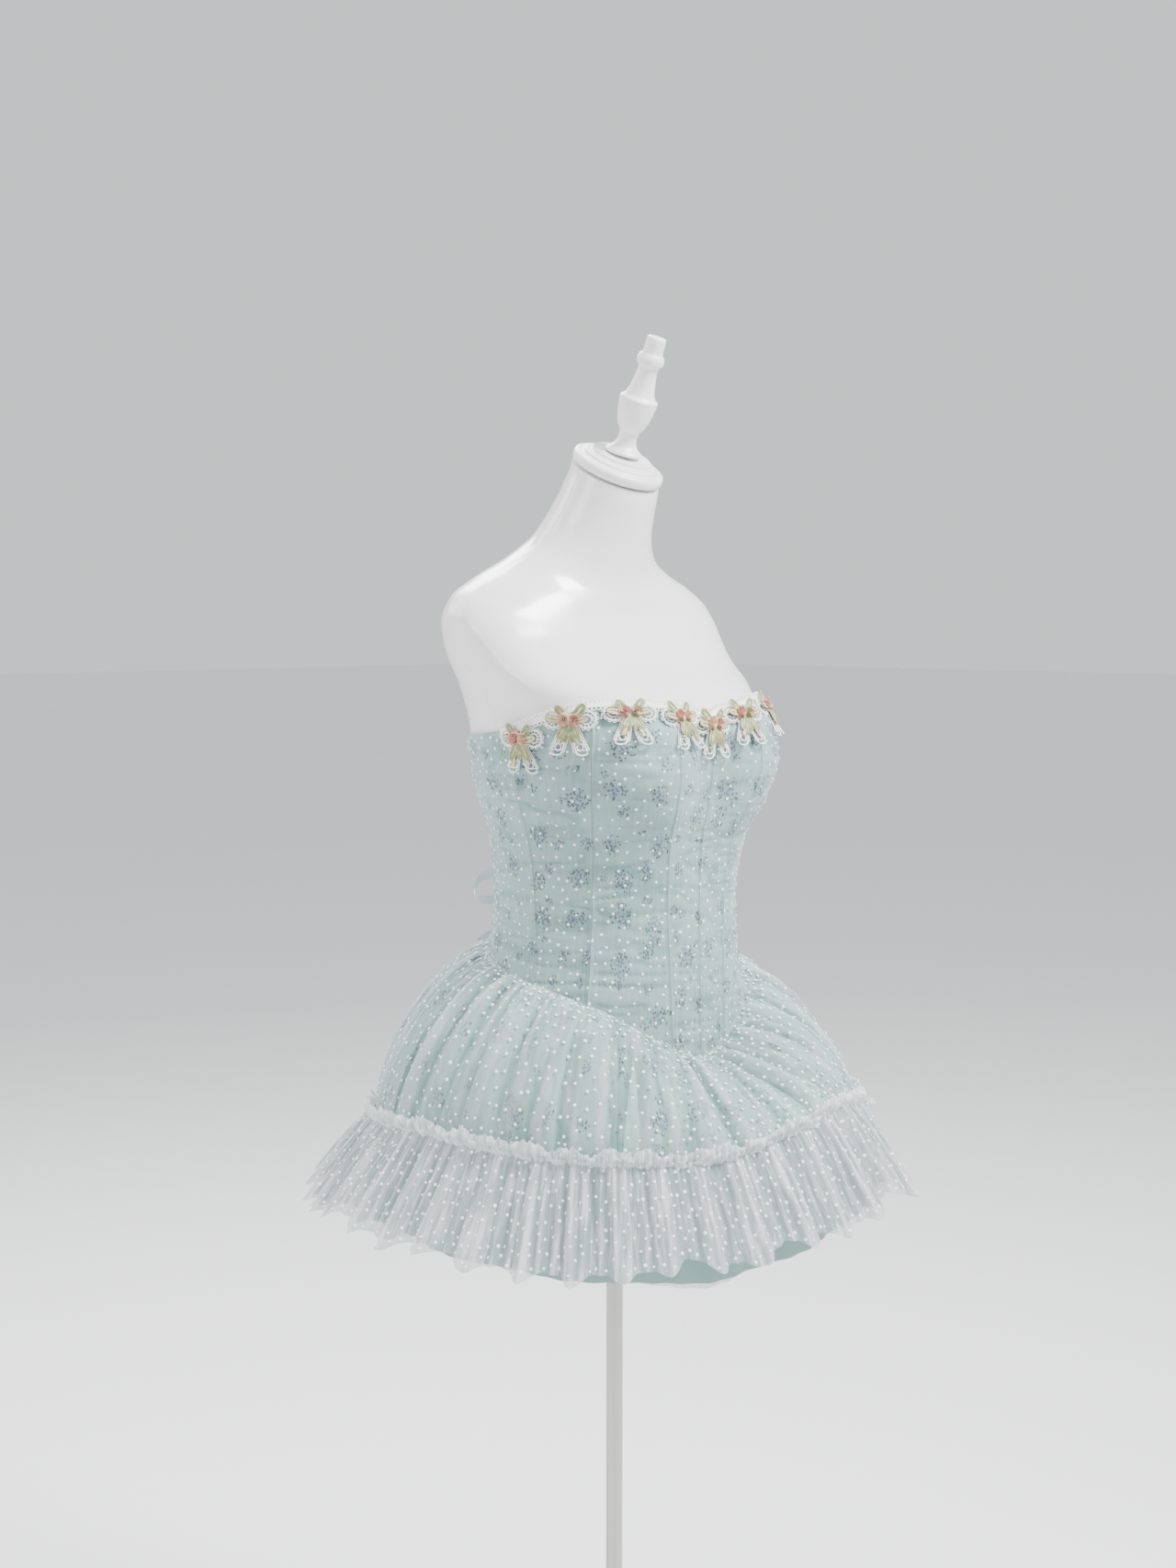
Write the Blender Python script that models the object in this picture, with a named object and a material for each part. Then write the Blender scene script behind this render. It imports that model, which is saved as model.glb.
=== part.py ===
"""Strapless tulle mini dress on a limbless dress form with a pole stand.

Metres, +Z up. The origin is the middle of the stand's flat underside. The form faces -Y, so
its right side is at -X. Angles run round the form from the front towards +X, in degrees in
the tables and in radians in the functions.
"""

from collections import namedtuple
from math import atan2, cos, exp, hypot, pi, radians, sin

import bmesh
import bpy
from mathutils import Matrix, Vector

# Stand
BASE_RADIUS = 0.150
BASE_THICKNESS = 0.008
COLLAR_RADIUS = 0.021
COLLAR_HEIGHT = 0.045
POLE_RADIUS = 0.0088
POLE_SIDES = 20

# Joins: what touches on the real object is parted by this
GAP = 0.0003

# Cloth walls
BODICE_EASE = 0.0012
BODICE_WALL = 0.0020
SKIRT_WALL = 0.0012
TRIM_WALL = 0.0010
SEAM_RIDGE = 0.0009

# Form: the cross-sections from the hips to the top of the neck
FORM_SIDES = 40
RING_STEP = 0.030
BUST_RING_STEP = 0.018
BUST_ZONE = (1.150, 1.312)
UNDER_DRESS = 0.0012
UNDER_BUST = 0.0045
BUST_CLEARANCE = (1.110, 1.320)
FINIAL_TILT = 23
BUST_ANGLE = radians(31)
BUST_SPREAD = radians(17)

# Skirt and ruffle
HEADING_RADIUS = 0.243
SKIRT_START = 0.0047
DOME_REACH_POWER = 1.42
DOME_DROP_POWER = 1.50
SKIRT_GATHERS = 28
SKIRT_ROWS = (0, 0.15, 0.42, 0.72, 1)
GATHER_AT_ENDS = 0.0020
GATHER_AT_MIDDLE = 0.0075
LAYER_STEP = 0.0025
LINING_HEM_RADIUS = 0.256
NET_HEM_RADIUS = 0.249
HEM_WAVES = 13
HEM_WAVE_DEPTH = 0.004
RUFFLE_WAVES = 40
RUFFLE_START = 0.0034
FRILL_HEIGHT = 0.011
FRILL_REACH = 0.004
RUFFLE_WAVE_TOP = 0.0030
RUFFLE_WAVE_HEM = 0.0120

# Bows along the neckline; the two over the bust settle into the panels' flat facets
BOW_ANGLES = (-81, -61, -40, -19, 0, 19, 40, 61, 81)
BOW_DROP = 0.012
BOW_BEND = 0.150
BOW_HALF_WIDTH = 0.020
BOW_SEAT_BELOW = 0.030
BOW_SEAT_ABOVE = 0.012
EDGING_END = 92
EDGING_SCALLOP = 0.0016
EDGING_CLEAR = SEAM_RIDGE + GAP + 0.0002
EDGING_HEIGHT = 0.003
EDGING_DEPTH = 0.005
BOW_CLEAR = 0.0003
BUST_BOWS = (-40, 40)
BUST_BOW_SETTLE = 0.0009

# Lacing down the back
LACING_EDGE = 0.012
LACING_CROSSINGS = 7
LACING_BOTTOM = 1.075
LACING_TOP = 1.240
LACING_WIDTH = 0.006
LACING_CLEAR = 0.0019
BACK_BOW_HEIGHT = 1.098
BACK_BOW_LIFT = 0.012
TAIL_LIFT = 0.013

Section = namedtuple(
    "Section", "height set_back half_width front back fullness bust tilt"
)
FORM = (
    Section(0.865, 0.0, 0.1580, 0.1120, 0.1290, 2.2, 0.0, 0),
    Section(0.900, 0.0, 0.1600, 0.1140, 0.1360, 2.2, 0.0, 0),
    Section(0.950, 0.0, 0.1540, 0.1155, 0.1380, 2.2, 0.0, 0),
    Section(1.010, 0.0, 0.1380, 0.1140, 0.1260, 2.2, 0.0, 0),
    Section(1.050, 0.0, 0.1265, 0.1130, 0.1150, 2.2, 0.0, 0),
    Section(1.085, 0.0, 0.1230, 0.1120, 0.1100, 2.2, 0.0, 0),
    Section(1.120, 0.0, 0.1240, 0.1120, 0.1090, 2.2, 0.002, 0),
    Section(1.160, 0.0, 0.1290, 0.1120, 0.1120, 2.2, 0.010, 0),
    Section(1.200, 0.0, 0.1400, 0.1135, 0.1190, 2.3, 0.028, 0),
    Section(1.235, 0.0, 0.1460, 0.1150, 0.1235, 2.4, 0.0365, 0),
    Section(1.270, 0.0, 0.1490, 0.1150, 0.1260, 2.5, 0.030, 0),
    Section(1.310, 0.006, 0.1590, 0.1075, 0.1260, 2.5, 0.009, 2),
    Section(1.345, 0.027, 0.1710, 0.0880, 0.1130, 2.4, 0.0, 5),
    Section(1.375, 0.038, 0.1770, 0.0720, 0.0940, 2.3, 0.0, 9),
    Section(1.395, 0.040, 0.1710, 0.0640, 0.0830, 2.1, 0.0, 12),
    Section(1.412, 0.038, 0.1480, 0.0590, 0.0750, 1.9, 0.0, 15),
    Section(1.430, 0.035, 0.1080, 0.0540, 0.0680, 1.8, 0.0, 19),
    Section(1.450, 0.028, 0.0760, 0.0500, 0.0600, 1.9, 0.0, 22),
    Section(1.475, 0.019, 0.0590, 0.0480, 0.0540, 2.0, 0.0, 25),
    Section(1.500, 0.009, 0.0520, 0.0470, 0.0490, 2.0, 0.0, 27),
    Section(1.526, 0.000, 0.0485, 0.0460, 0.0465, 2.0, 0.0, 28),
)

# Height of the bodice's top edge and of its pointed lower seam, alike on both sides
Edge = namedtuple("Edge", "angle neckline seam")
BODICE_EDGES = (
    Edge(0, 1.288, 0.944),
    Edge(10, 1.294, 0.948),
    Edge(20, 1.298, 0.959),
    Edge(35, 1.303, 0.978),
    Edge(50, 1.303, 0.998),
    Edge(70, 1.288, 1.015),
    Edge(86, 1.274, 1.024),
    Edge(135, 1.262, 1.040),
    Edge(180, 1.258, 1.045),
)

# The skirt's lower edge, where the ruffle is sewn on, and the ruffle's own hem
Hem = namedtuple("Hem", "angle heading ruffle_hem ruffle_reach lining_hem net_hem")
SKIRT_HEM = (
    Hem(-180, 0.882, 0.798, 0.312, 0.790, 0.800),
    Hem(-135, 0.876, 0.797, 0.315, 0.790, 0.800),
    Hem(-90, 0.893, 0.805, 0.312, 0.786, 0.796),
    Hem(-55, 0.886, 0.798, 0.310, 0.777, 0.782),
    Hem(-27, 0.883, 0.800, 0.308, 0.772, 0.765),
    Hem(0, 0.900, 0.814, 0.306, 0.784, 0.790),
    Hem(16, 0.908, 0.826, 0.306, 0.788, 0.798),
    Hem(45, 0.887, 0.799, 0.305, 0.790, 0.800),
    Hem(62, 0.890, 0.808, 0.308, 0.790, 0.800),
    Hem(74, 0.899, 0.852, 0.325, 0.790, 0.800),
    Hem(88, 0.890, 0.812, 0.312, 0.790, 0.800),
    Hem(135, 0.880, 0.798, 0.310, 0.790, 0.800),
    Hem(180, 0.882, 0.798, 0.312, 0.790, 0.800),
)

# Each pattern piece of the bodice, cut once for each side
Panel = namedtuple("Panel", "name start end")
PANELS = (
    Panel("center_front", 0, 22),
    Panel("side_front", 22, 54),
    Panel("side", 54, 86),
    Panel("side_back", 86, 132),
    Panel("back", 132, 174),
)
PANEL_COLUMNS = (0, 0.08, 0.36, 0.64, 0.92, 1)
PANEL_ROWS = 10
PANEL_ROW_POWER = 1.3
SIDES = (("right", -1), ("left", 1))

# Gores of the skirt and lengths of the ruffle, by their first and last angles
QUARTERS = (
    ("front", -45, 45),
    ("left", 45, 135),
    ("back", 135, 225),
    ("right", 225, 315),
)
HALVES = (("front", -90, 90), ("back", 90, 270))

# Neck cap: a turned profile in its own axis
Turn = namedtuple("Turn", "radius height")
NECK_CAP = (
    Turn(0.0400, 0.0000),
    Turn(0.0430, 0.0018),
    Turn(0.0470, 0.0030),
    Turn(0.0478, 0.0085),
    Turn(0.0465, 0.0125),
    Turn(0.0385, 0.0135),
    Turn(0.0380, 0.0165),
    Turn(0.0315, 0.0175),
    Turn(0.0306, 0.0205),
)
FINIAL = (
    Turn(0.0185, 0.0000),
    Turn(0.0190, 0.0025),
    Turn(0.0120, 0.0075),
    Turn(0.0092, 0.0150),
    Turn(0.0100, 0.0230),
    Turn(0.0145, 0.0290),
    Turn(0.0180, 0.0420),
    Turn(0.0195, 0.0540),
    Turn(0.0195, 0.0570),
    Turn(0.0150, 0.0600),
    Turn(0.0120, 0.0700),
    Turn(0.0095, 0.0890),
    Turn(0.0135, 0.0925),
    Turn(0.0140, 0.0975),
    Turn(0.0120, 0.1020),
    Turn(0.0100, 0.1030),
    Turn(0.0098, 0.1180),
    Turn(0.0085, 0.1195),
)
TURNED_SIDES = 16

PAINTED = {
    "form_white": ((0.86, 0.85, 0.85), 0.25, 0.0),
    "steel": ((0.62, 0.62, 0.61), 0.25, 1.0),
    "printed_tulle": ((0.62, 0.74, 0.73), 0.85, 0.0),
    "dotted_tulle": ((0.86, 0.90, 0.90), 0.85, 0.0),
    "mint_lining": ((0.56, 0.76, 0.72), 0.75, 0.0),
    "white_lace": ((0.90, 0.88, 0.82), 0.80, 0.0),
    "ribbon": ((0.80, 0.62, 0.52), 0.50, 0.0),
}


def smooth(rows, column, at, by):
    """A column of a table read between its rows, with no overshoot and level at both ends."""
    places = [getattr(row, by) for row in rows]
    values = [getattr(row, column) for row in rows]
    if at <= places[0]:
        return values[0]
    if at >= places[-1]:
        return values[-1]
    k = max(i for i in range(len(rows) - 1) if places[i] <= at)

    def slope(i):
        if i in (0, len(rows) - 1):
            return 0.0
        before = (values[i] - values[i - 1]) / (places[i] - places[i - 1])
        after = (values[i + 1] - values[i]) / (places[i + 1] - places[i])
        if before * after <= 0:
            return 0.0
        return 2 * before * after / (before + after)

    step = places[k + 1] - places[k]
    t = (at - places[k]) / step
    return (
        (2 * t**3 - 3 * t**2 + 1) * values[k]
        + (t**3 - 2 * t**2 + t) * step * slope(k)
        + (3 * t**2 - 2 * t**3) * values[k + 1]
        + (t**3 - t**2) * step * slope(k + 1)
    )


def turned_to(angle):
    """The same angle between -pi and pi."""
    return (angle + pi) % (2 * pi) - pi


def form_radius(angle, height):
    """Distance of the form's skin from its own upright axis."""
    side = smooth(FORM, "half_width", height, "height")
    depth = smooth(FORM, "front" if cos(angle) > 0 else "back", height, "height")
    power = smooth(FORM, "fullness", height, "height")
    oval = (abs(sin(angle)) / side) ** power + (abs(cos(angle)) / depth) ** power
    swell = sum(
        exp(-0.5 * ((turned_to(angle) - at) / BUST_SPREAD) ** 2)
        for at in (BUST_ANGLE, -BUST_ANGLE)
    )
    return oval ** (-1 / power) + smooth(FORM, "bust", height, "height") * swell


def on_form(angle, height, out=0.0):
    """A point on the form's skin, moved out from it."""
    radius = form_radius(angle, height) + out
    back = -radius * cos(angle)
    tilt = radians(smooth(FORM, "tilt", height, "height"))
    set_back = smooth(FORM, "set_back", height, "height")
    return Vector(
        (radius * sin(angle), set_back + back * cos(tilt), height + back * sin(tilt))
    )


def neckline(angle):
    return smooth(BODICE_EDGES, "neckline", abs(turned_to(angle)) * 180 / pi, "angle")


def waist_seam(angle):
    return smooth(BODICE_EDGES, "seam", abs(turned_to(angle)) * 180 / pi, "angle")


def hem(column, angle):
    return smooth(SKIRT_HEM, column, turned_to(angle) * 180 / pi, "angle")


def dome(angle, down):
    """The skirt's smooth form: down is 0 at the waist seam and 1 at the ruffle's heading."""
    top = waist_seam(angle)
    start = form_radius(angle, top) + SKIRT_START
    low = hem("heading", angle)
    down = min(max(down, 0.0), 1.0)
    out = sin(down * pi / 2) ** DOME_REACH_POWER
    drop = cos(down * pi / 2) ** DOME_DROP_POWER if down < 1 else 0.0
    radius = start + (HEADING_RADIUS - start) * out
    return Vector((radius * sin(angle), -radius * cos(angle), low + (top - low) * drop))


def dome_normal(angle, down):
    step = 0.01
    along = dome(angle, down + step) - dome(angle, down - step)
    around = dome(angle + step, down) - dome(angle - step, down)
    return along.cross(around).normalized()


def uneven(angle, count, shift):
    """A phase that advances count turns round the body, at an uneven pace."""
    wander = 0.5 * sin(3 * angle + shift) + 0.35 * sin(7 * angle + 2 * shift)
    return count * angle + wander + 0.15 * sin(13 * angle)


def gathered(angle, down, under=0.0):
    """A point of the gathered skirt, or of a plain layer this far under it."""
    point = dome(angle, down)
    if under:
        return point - dome_normal(angle, down) * under
    depth = GATHER_AT_ENDS + (GATHER_AT_MIDDLE - GATHER_AT_ENDS) * sin(pi * down)
    fold = 0.5 + 0.5 * cos(uneven(angle, SKIRT_GATHERS, 0.0))
    return point + dome_normal(angle, down) * depth * fold


def under_layer(angle, down, under, hem_radius, column):
    """Lining or net: under the skirt to the heading, then on down to its own hem."""
    if down <= 1:
        return gathered(angle, down, under)
    top = gathered(angle, 1, under)
    fall = down - 1
    wave = HEM_WAVE_DEPTH * fall * cos(uneven(angle, HEM_WAVES, 1.0))
    radius = HEADING_RADIUS - under
    radius += (hem_radius - radius) * fall + wave
    height = top.z + (hem(column, angle) - top.z) * fall
    return Vector((radius * sin(angle), -radius * cos(angle), height))


def ruffle(angle, down):
    """down is -1 at the top of the standing frill, 0 at its stitching and 1 at the hem."""
    low = hem("heading", angle)
    wave = 0.5 + 0.5 * cos(uneven(angle, RUFFLE_WAVES, 2.0))
    start = HEADING_RADIUS + RUFFLE_START
    if down < 0:
        radius = start + FRILL_REACH * -down
        height = low + FRILL_HEIGHT * -down
        depth = RUFFLE_WAVE_TOP
    else:
        reach = hem("ruffle_reach", angle)
        radius = start + (reach - start) * down
        height = low + (hem("ruffle_hem", angle) - low) * down
        depth = RUFFLE_WAVE_TOP + (RUFFLE_WAVE_HEM - RUFFLE_WAVE_TOP) * down
    radius += depth * (wave - 0.5 * down if down > 0 else wave)
    return Vector((radius * sin(angle), -radius * cos(angle), height))


def on_bodice(angle, height, out):
    return on_form(angle, height, BODICE_EASE + BODICE_WALL + out)


def paint(name):
    colour, roughness, metallic = PAINTED[name]
    material = bpy.data.materials.get(name) or bpy.data.materials.new(name)
    material.use_nodes = True
    shader = material.node_tree.nodes["Principled BSDF"]
    shader.inputs["Base Color"].default_value = (*colour, 1)
    shader.inputs["Roughness"].default_value = roughness
    shader.inputs["Metallic"].default_value = metallic
    material.diffuse_color = (*colour, 1)
    return material


def add_solid(name, points, faces, finish):
    """One named object from points and faces, with its faces turned outwards."""
    mesh = bpy.data.meshes.new(name)
    bm = bmesh.new()
    corners = [bm.verts.new(point) for point in points]
    for face in faces:
        bm.faces.new([corners[i] for i in face])
    bmesh.ops.recalc_face_normals(bm, faces=bm.faces)
    bm.to_mesh(mesh)
    bm.free()
    mesh.materials.append(paint(finish))
    mesh.shade_smooth()
    mesh.set_sharp_from_angle(angle=radians(40))
    solid = bpy.data.objects.new(name, mesh)
    bpy.context.scene.collection.objects.link(solid)
    return solid


def grid_wall(name, outer, inner, finish):
    """A wall between two grids of points, closed along its four edges.

    Both faces are cut along the same diagonals, so that layers keep their distance.
    """
    rows, columns = len(outer), len(outer[0])
    points = [p for row in outer for p in row] + [p for row in inner for p in row]
    behind = rows * columns

    def at(row, column):
        return row * columns + column

    faces = []
    for r in range(rows - 1):
        for c in range(columns - 1):
            first = [at(r, c), at(r, c + 1), at(r + 1, c + 1)]
            second = [at(r, c), at(r + 1, c + 1), at(r + 1, c)]
            for face in (first, second):
                faces.append(face)
                faces.append([i + behind for i in reversed(face)])
    rim = [at(0, c) for c in range(columns)]
    rim += [at(r, columns - 1) for r in range(1, rows)]
    rim += [at(rows - 1, c) for c in range(columns - 2, -1, -1)]
    rim += [at(r, 0) for r in range(rows - 2, 0, -1)]
    for here, after in zip(rim, rim[1:] + rim[:1]):
        faces.append([after, here, here + behind, after + behind])
    return add_solid(name, points, faces, finish)


def cloth_wall(name, place, angles, downs, thickness, finish):
    """A cloth wall of even thickness behind the surface place(angle, down)."""
    step = 0.004
    outer, inner = [], []
    for k, down in enumerate(downs):
        before = downs[max(k - 1, 0)]
        after = downs[min(k + 1, len(downs) - 1)]
        outer.append([])
        inner.append([])
        for angle in angles:
            point = place(angle, down)
            around = place(angle + step, down) - place(angle - step, down)
            along = place(angle, after) - place(angle, before)
            behind = around.cross(along).normalized()
            outer[-1].append(point)
            inner[-1].append(point + behind * thickness)
    return grid_wall(name, outer, inner, finish)


def plate(name, outline, faces, place, thickness, finish, raised=()):
    """A flat shape laid on a surface: place(x, y, out) puts each point of it in space.

    raised lists (face number, rings), where each ring is (scale, height) over that face.
    """
    count = len(outline)
    points = [place(x, y, thickness) for x, y in outline]
    points += [place(x, y, 0) for x, y in outline]
    built = [[i + count for i in reversed(face)] for face in faces]
    lifted = dict(raised)
    for number, face in enumerate(faces):
        ring = list(face)
        if number in lifted:
            middle = [sum(outline[i][k] for i in face) / len(face) for k in (0, 1)]
            for scale, height in lifted[number]:
                first = len(points)
                for i in face:
                    x, y = (m + (outline[i][k] - m) * scale for k, m in enumerate(middle))
                    points.append(place(x, y, thickness + height))
                upper = list(range(first, first + len(face)))
                for k in range(len(face)):
                    n = (k + 1) % len(face)
                    built.append([ring[k], ring[n], upper[n], upper[k]])
                ring = upper
        built.append(ring)
    edges = {(a, b) for face in faces for a, b in zip(face, face[1:] + face[:1])}
    for a, b in edges:
        if (b, a) not in edges:
            built.append([b, a, a + count, b + count])
    return add_solid(name, points, built, finish)


def turned_solid(name, profile, sides, finish):
    """A solid of revolution about its own Z axis, closed at both ends."""
    points, faces = [], []
    for turn in profile:
        for k in range(sides):
            a = 2 * pi * k / sides
            points.append(Vector((turn.radius * cos(a), turn.radius * sin(a), turn.height)))
    for r in range(len(profile) - 1):
        for k in range(sides):
            n = (k + 1) % sides
            low, high = r * sides, (r + 1) * sides
            faces.append([low + k, low + n, high + n, high + k])
    faces.append(list(range(sides)))
    faces.append([(len(profile) - 1) * sides + k for k in range(sides)])
    return add_solid(name, points, faces, finish)


def angles_between(first, last, count, seam_radius):
    """Angles from first to last degrees, held back half a gap at each seam."""
    half_gap = 0.5 * GAP / seam_radius
    low, high = radians(first) + half_gap, radians(last) - half_gap
    return [low + (high - low) * k / count for k in range(count + 1)]


def make_stand():
    base = (
        Turn(BASE_RADIUS - 0.002, 0.0),
        Turn(BASE_RADIUS, 0.002),
        Turn(BASE_RADIUS, BASE_THICKNESS - 0.002),
        Turn(BASE_RADIUS - 0.002, BASE_THICKNESS),
        Turn(COLLAR_RADIUS + 0.004, BASE_THICKNESS + 0.004),
        Turn(COLLAR_RADIUS, BASE_THICKNESS + 0.008),
        Turn(COLLAR_RADIUS, BASE_THICKNESS + COLLAR_HEIGHT - 0.002),
        Turn(COLLAR_RADIUS - 0.002, BASE_THICKNESS + COLLAR_HEIGHT),
    )
    turned_solid("stand_base", base, 32, "steel")
    bottom = BASE_THICKNESS + COLLAR_HEIGHT + GAP
    top = FORM[0].height - GAP
    pole = (Turn(POLE_RADIUS, bottom), Turn(POLE_RADIUS, top))
    turned_solid("stand_pole", pole, POLE_SIDES, "steel")


def form_ring_heights():
    """Ring heights from hip to neck, closer together over the bust."""
    stops = (FORM[0].height, *BUST_ZONE, FORM[-1].height)
    heights = [stops[0]]
    for low, high, step in zip(stops, stops[1:], (RING_STEP, BUST_RING_STEP, RING_STEP)):
        count = max(1, round((high - low) / step))
        heights += [low + (high - low) * k / count for k in range(1, count + 1)]
    return heights


def make_form():
    heights = form_ring_heights()
    points, faces = [], []
    for height in heights:
        low, high = BUST_CLEARANCE
        held_off = min(max(min(height - low, high - height) / RING_STEP, 0), 1)
        inset = UNDER_DRESS + (UNDER_BUST - UNDER_DRESS) * held_off
        for k in range(FORM_SIDES):
            points.append(on_form(2 * pi * k / FORM_SIDES, height, -inset))
    for r in range(len(heights) - 1):
        for k in range(FORM_SIDES):
            n = (k + 1) % FORM_SIDES
            lower, upper = r * FORM_SIDES, (r + 1) * FORM_SIDES
            faces.append([lower + k, lower + n, upper + n, upper + k])
    faces.append(list(range(FORM_SIDES)))
    faces.append([(len(heights) - 1) * FORM_SIDES + k for k in range(FORM_SIDES)])
    add_solid("form_torso", points, faces, "form_white")


def make_neck_cap():
    top = FORM[-1]
    tilt = Matrix.Rotation(radians(top.tilt), 4, "X")
    seat = Vector((0, top.set_back, top.height))
    up = tilt @ Vector((0, 0, 1))
    cap = turned_solid("form_neck_cap", NECK_CAP, TURNED_SIDES, "form_white")
    cap.matrix_world = Matrix.Translation(seat + up * GAP) @ tilt
    finial = turned_solid("form_finial", FINIAL, TURNED_SIDES, "form_white")
    lean = radians(top.tilt - FINIAL_TILT)
    height = GAP + NECK_CAP[-1].height + GAP + FINIAL[0].radius * sin(lean)
    upright = Matrix.Rotation(radians(FINIAL_TILT), 4, "X")
    finial.matrix_world = Matrix.Translation(seat + up * height) @ upright


def make_panel(panel, side, sign):
    """One bodice panel, with its seam edges raised over the boning."""
    outer, inner = [], []
    columns = [panel.start + (panel.end - panel.start) * u for u in PANEL_COLUMNS]
    last = len(columns) - 1
    for row in range(PANEL_ROWS + 1):
        outer.append([])
        inner.append([])
        for k, column in enumerate(columns):
            angle = radians(column)
            top, bottom = neckline(angle), waist_seam(angle)
            height = top + (bottom - top) * (row / PANEL_ROWS) ** PANEL_ROW_POWER
            edge = 0.5 * GAP / form_radius(angle, height)
            angle += edge if k == 0 else -edge if k == last else 0
            out = BODICE_EASE + BODICE_WALL + (SEAM_RIDGE if k in (0, last) else 0)
            outer[-1].append(on_form(sign * angle, height, out))
            inner[-1].append(on_form(sign * angle, height, BODICE_EASE))
    grid_wall(f"bodice_{panel.name}_{side}", outer, inner, "printed_tulle")


def make_skirt():
    for name, first, last in QUARTERS:
        angles = angles_between(first, last, 28, HEADING_RADIUS)
        cloth_wall(f"skirt_{name}", gathered, angles, SKIRT_ROWS, SKIRT_WALL, "printed_tulle")


def make_under_layers():
    def lining(angle, down):
        return under_layer(angle, down, LAYER_STEP, LINING_HEM_RADIUS, "lining_hem")

    def net(angle, down):
        return under_layer(angle, down, 2 * LAYER_STEP, NET_HEM_RADIUS, "net_hem")

    downs = (*SKIRT_ROWS, 1.5, 2)
    for name, first, last in HALVES:
        angles = angles_between(first, last, 24, HEADING_RADIUS)
        cloth_wall(f"lining_{name}", lining, angles, downs, SKIRT_WALL, "mint_lining")
        cloth_wall(f"petticoat_{name}", net, angles, downs, SKIRT_WALL, "dotted_tulle")


def make_ruffle():
    downs = (-1, 0, 0.5, 1)
    for name, first, last in QUARTERS:
        angles = angles_between(first, last, RUFFLE_WAVES, HEADING_RADIUS)
        cloth_wall(f"ruffle_{name}", ruffle, angles, downs, TRIM_WALL, "dotted_tulle")


def ridge(angle):
    """Height of the raised seams over the bodice's face at this angle."""
    at = abs(turned_to(angle)) * 180 / pi
    panel = next(p for p in PANELS if at <= p.end)
    width = PANEL_COLUMNS[1] * (panel.end - panel.start)
    from_seam = min(at - panel.start, panel.end - at)
    return SEAM_RIDGE * max(0.0, 1 - from_seam / width)


def stands_off(point, under):
    """How far a point stands out from the bodice's face, or from what is this far over it."""
    angle, height = atan2(point.x, -point.y), point.z
    for _ in range(3):
        skin = on_bodice(angle, height, under)
        angle += atan2(point.x, -point.y) - atan2(skin.x, -skin.y)
        height += point.z - skin.z
    return hypot(point.x, point.y) - hypot(skin.x, skin.y)


def on_neckline(angle, drop, outline):
    """A place(x, y, out) on a sheet bent round the body, with this outline resting on it."""
    middle = neckline(angle) - drop
    seat = on_bodice(angle, middle, 0)
    half = BOW_HALF_WIDTH / form_radius(angle, middle)
    across = on_bodice(angle + half, middle, 0) - on_bodice(angle - half, middle, 0)
    across.normalize()
    rise = on_bodice(angle, middle + BOW_SEAT_ABOVE, 0)
    rise -= on_bodice(angle, middle - BOW_SEAT_BELOW, 0)
    normal = across.cross(rise).normalized()
    up = normal.cross(across)

    def bent(x, y):
        return seat + across * x + up * y - normal * (x**2 / (2 * BOW_BEND))

    def clearance(x, y, lift):
        point = bent(x, y) + normal * lift
        over_edge = point.z - neckline(atan2(point.x, -point.y))
        if over_edge > EDGING_HEIGHT + 2 * EDGING_SCALLOP:
            return stands_off(point, -BODICE_EASE - BODICE_WALL)
        if over_edge > -EDGING_DEPTH - 2 * EDGING_SCALLOP:
            return stands_off(point, EDGING_CLEAR + TRIM_WALL)
        return stands_off(point, ridge(atan2(point.x, -point.y)))

    after = outline[1:] + outline[:1]
    halfway = [((a[0] + b[0]) / 2, (a[1] + b[1]) / 2) for a, b in zip(outline, after)]
    lift = 0.0
    for _ in range(3):
        lift -= min(clearance(x, y, lift) for x, y in outline + halfway)

    if round(angle * 180 / pi) in BUST_BOWS:
        lift -= BUST_BOW_SETTLE

    def place(x, y, out):
        return bent(x, y) + normal * (lift + BOW_CLEAR + out)

    return place


# A flat bow: its right loop is an oval band, and its tails spread from the knot's foot
Bow = namedtuple("Bow", "loop_x loop_y half_wide half_tall band foot tail_mid tail_end")
LACE_BOW = Bow(
    loop_x=0.0135,
    loop_y=0.0055,
    half_wide=0.0105,
    half_tall=0.0105,
    band=0.0045,
    foot=(0.0045, -0.0050),
    tail_mid=((0.0120, -0.0180), (0.0040, -0.0200)),
    tail_end=((0.0150, -0.0300), (0.0050, -0.0330)),
)
BACK_BOW = Bow(
    loop_x=0.0500,
    loop_y=0.0030,
    half_wide=0.0470,
    half_tall=0.0140,
    band=0.0050,
    foot=(0.0060, -0.0080),
    tail_mid=((0.0220, -0.0390), (0.0150, -0.0410)),
    tail_end=((0.0360, -0.0990), (0.0290, -0.1000)),
)
LOOP_CORNERS = 8


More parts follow.
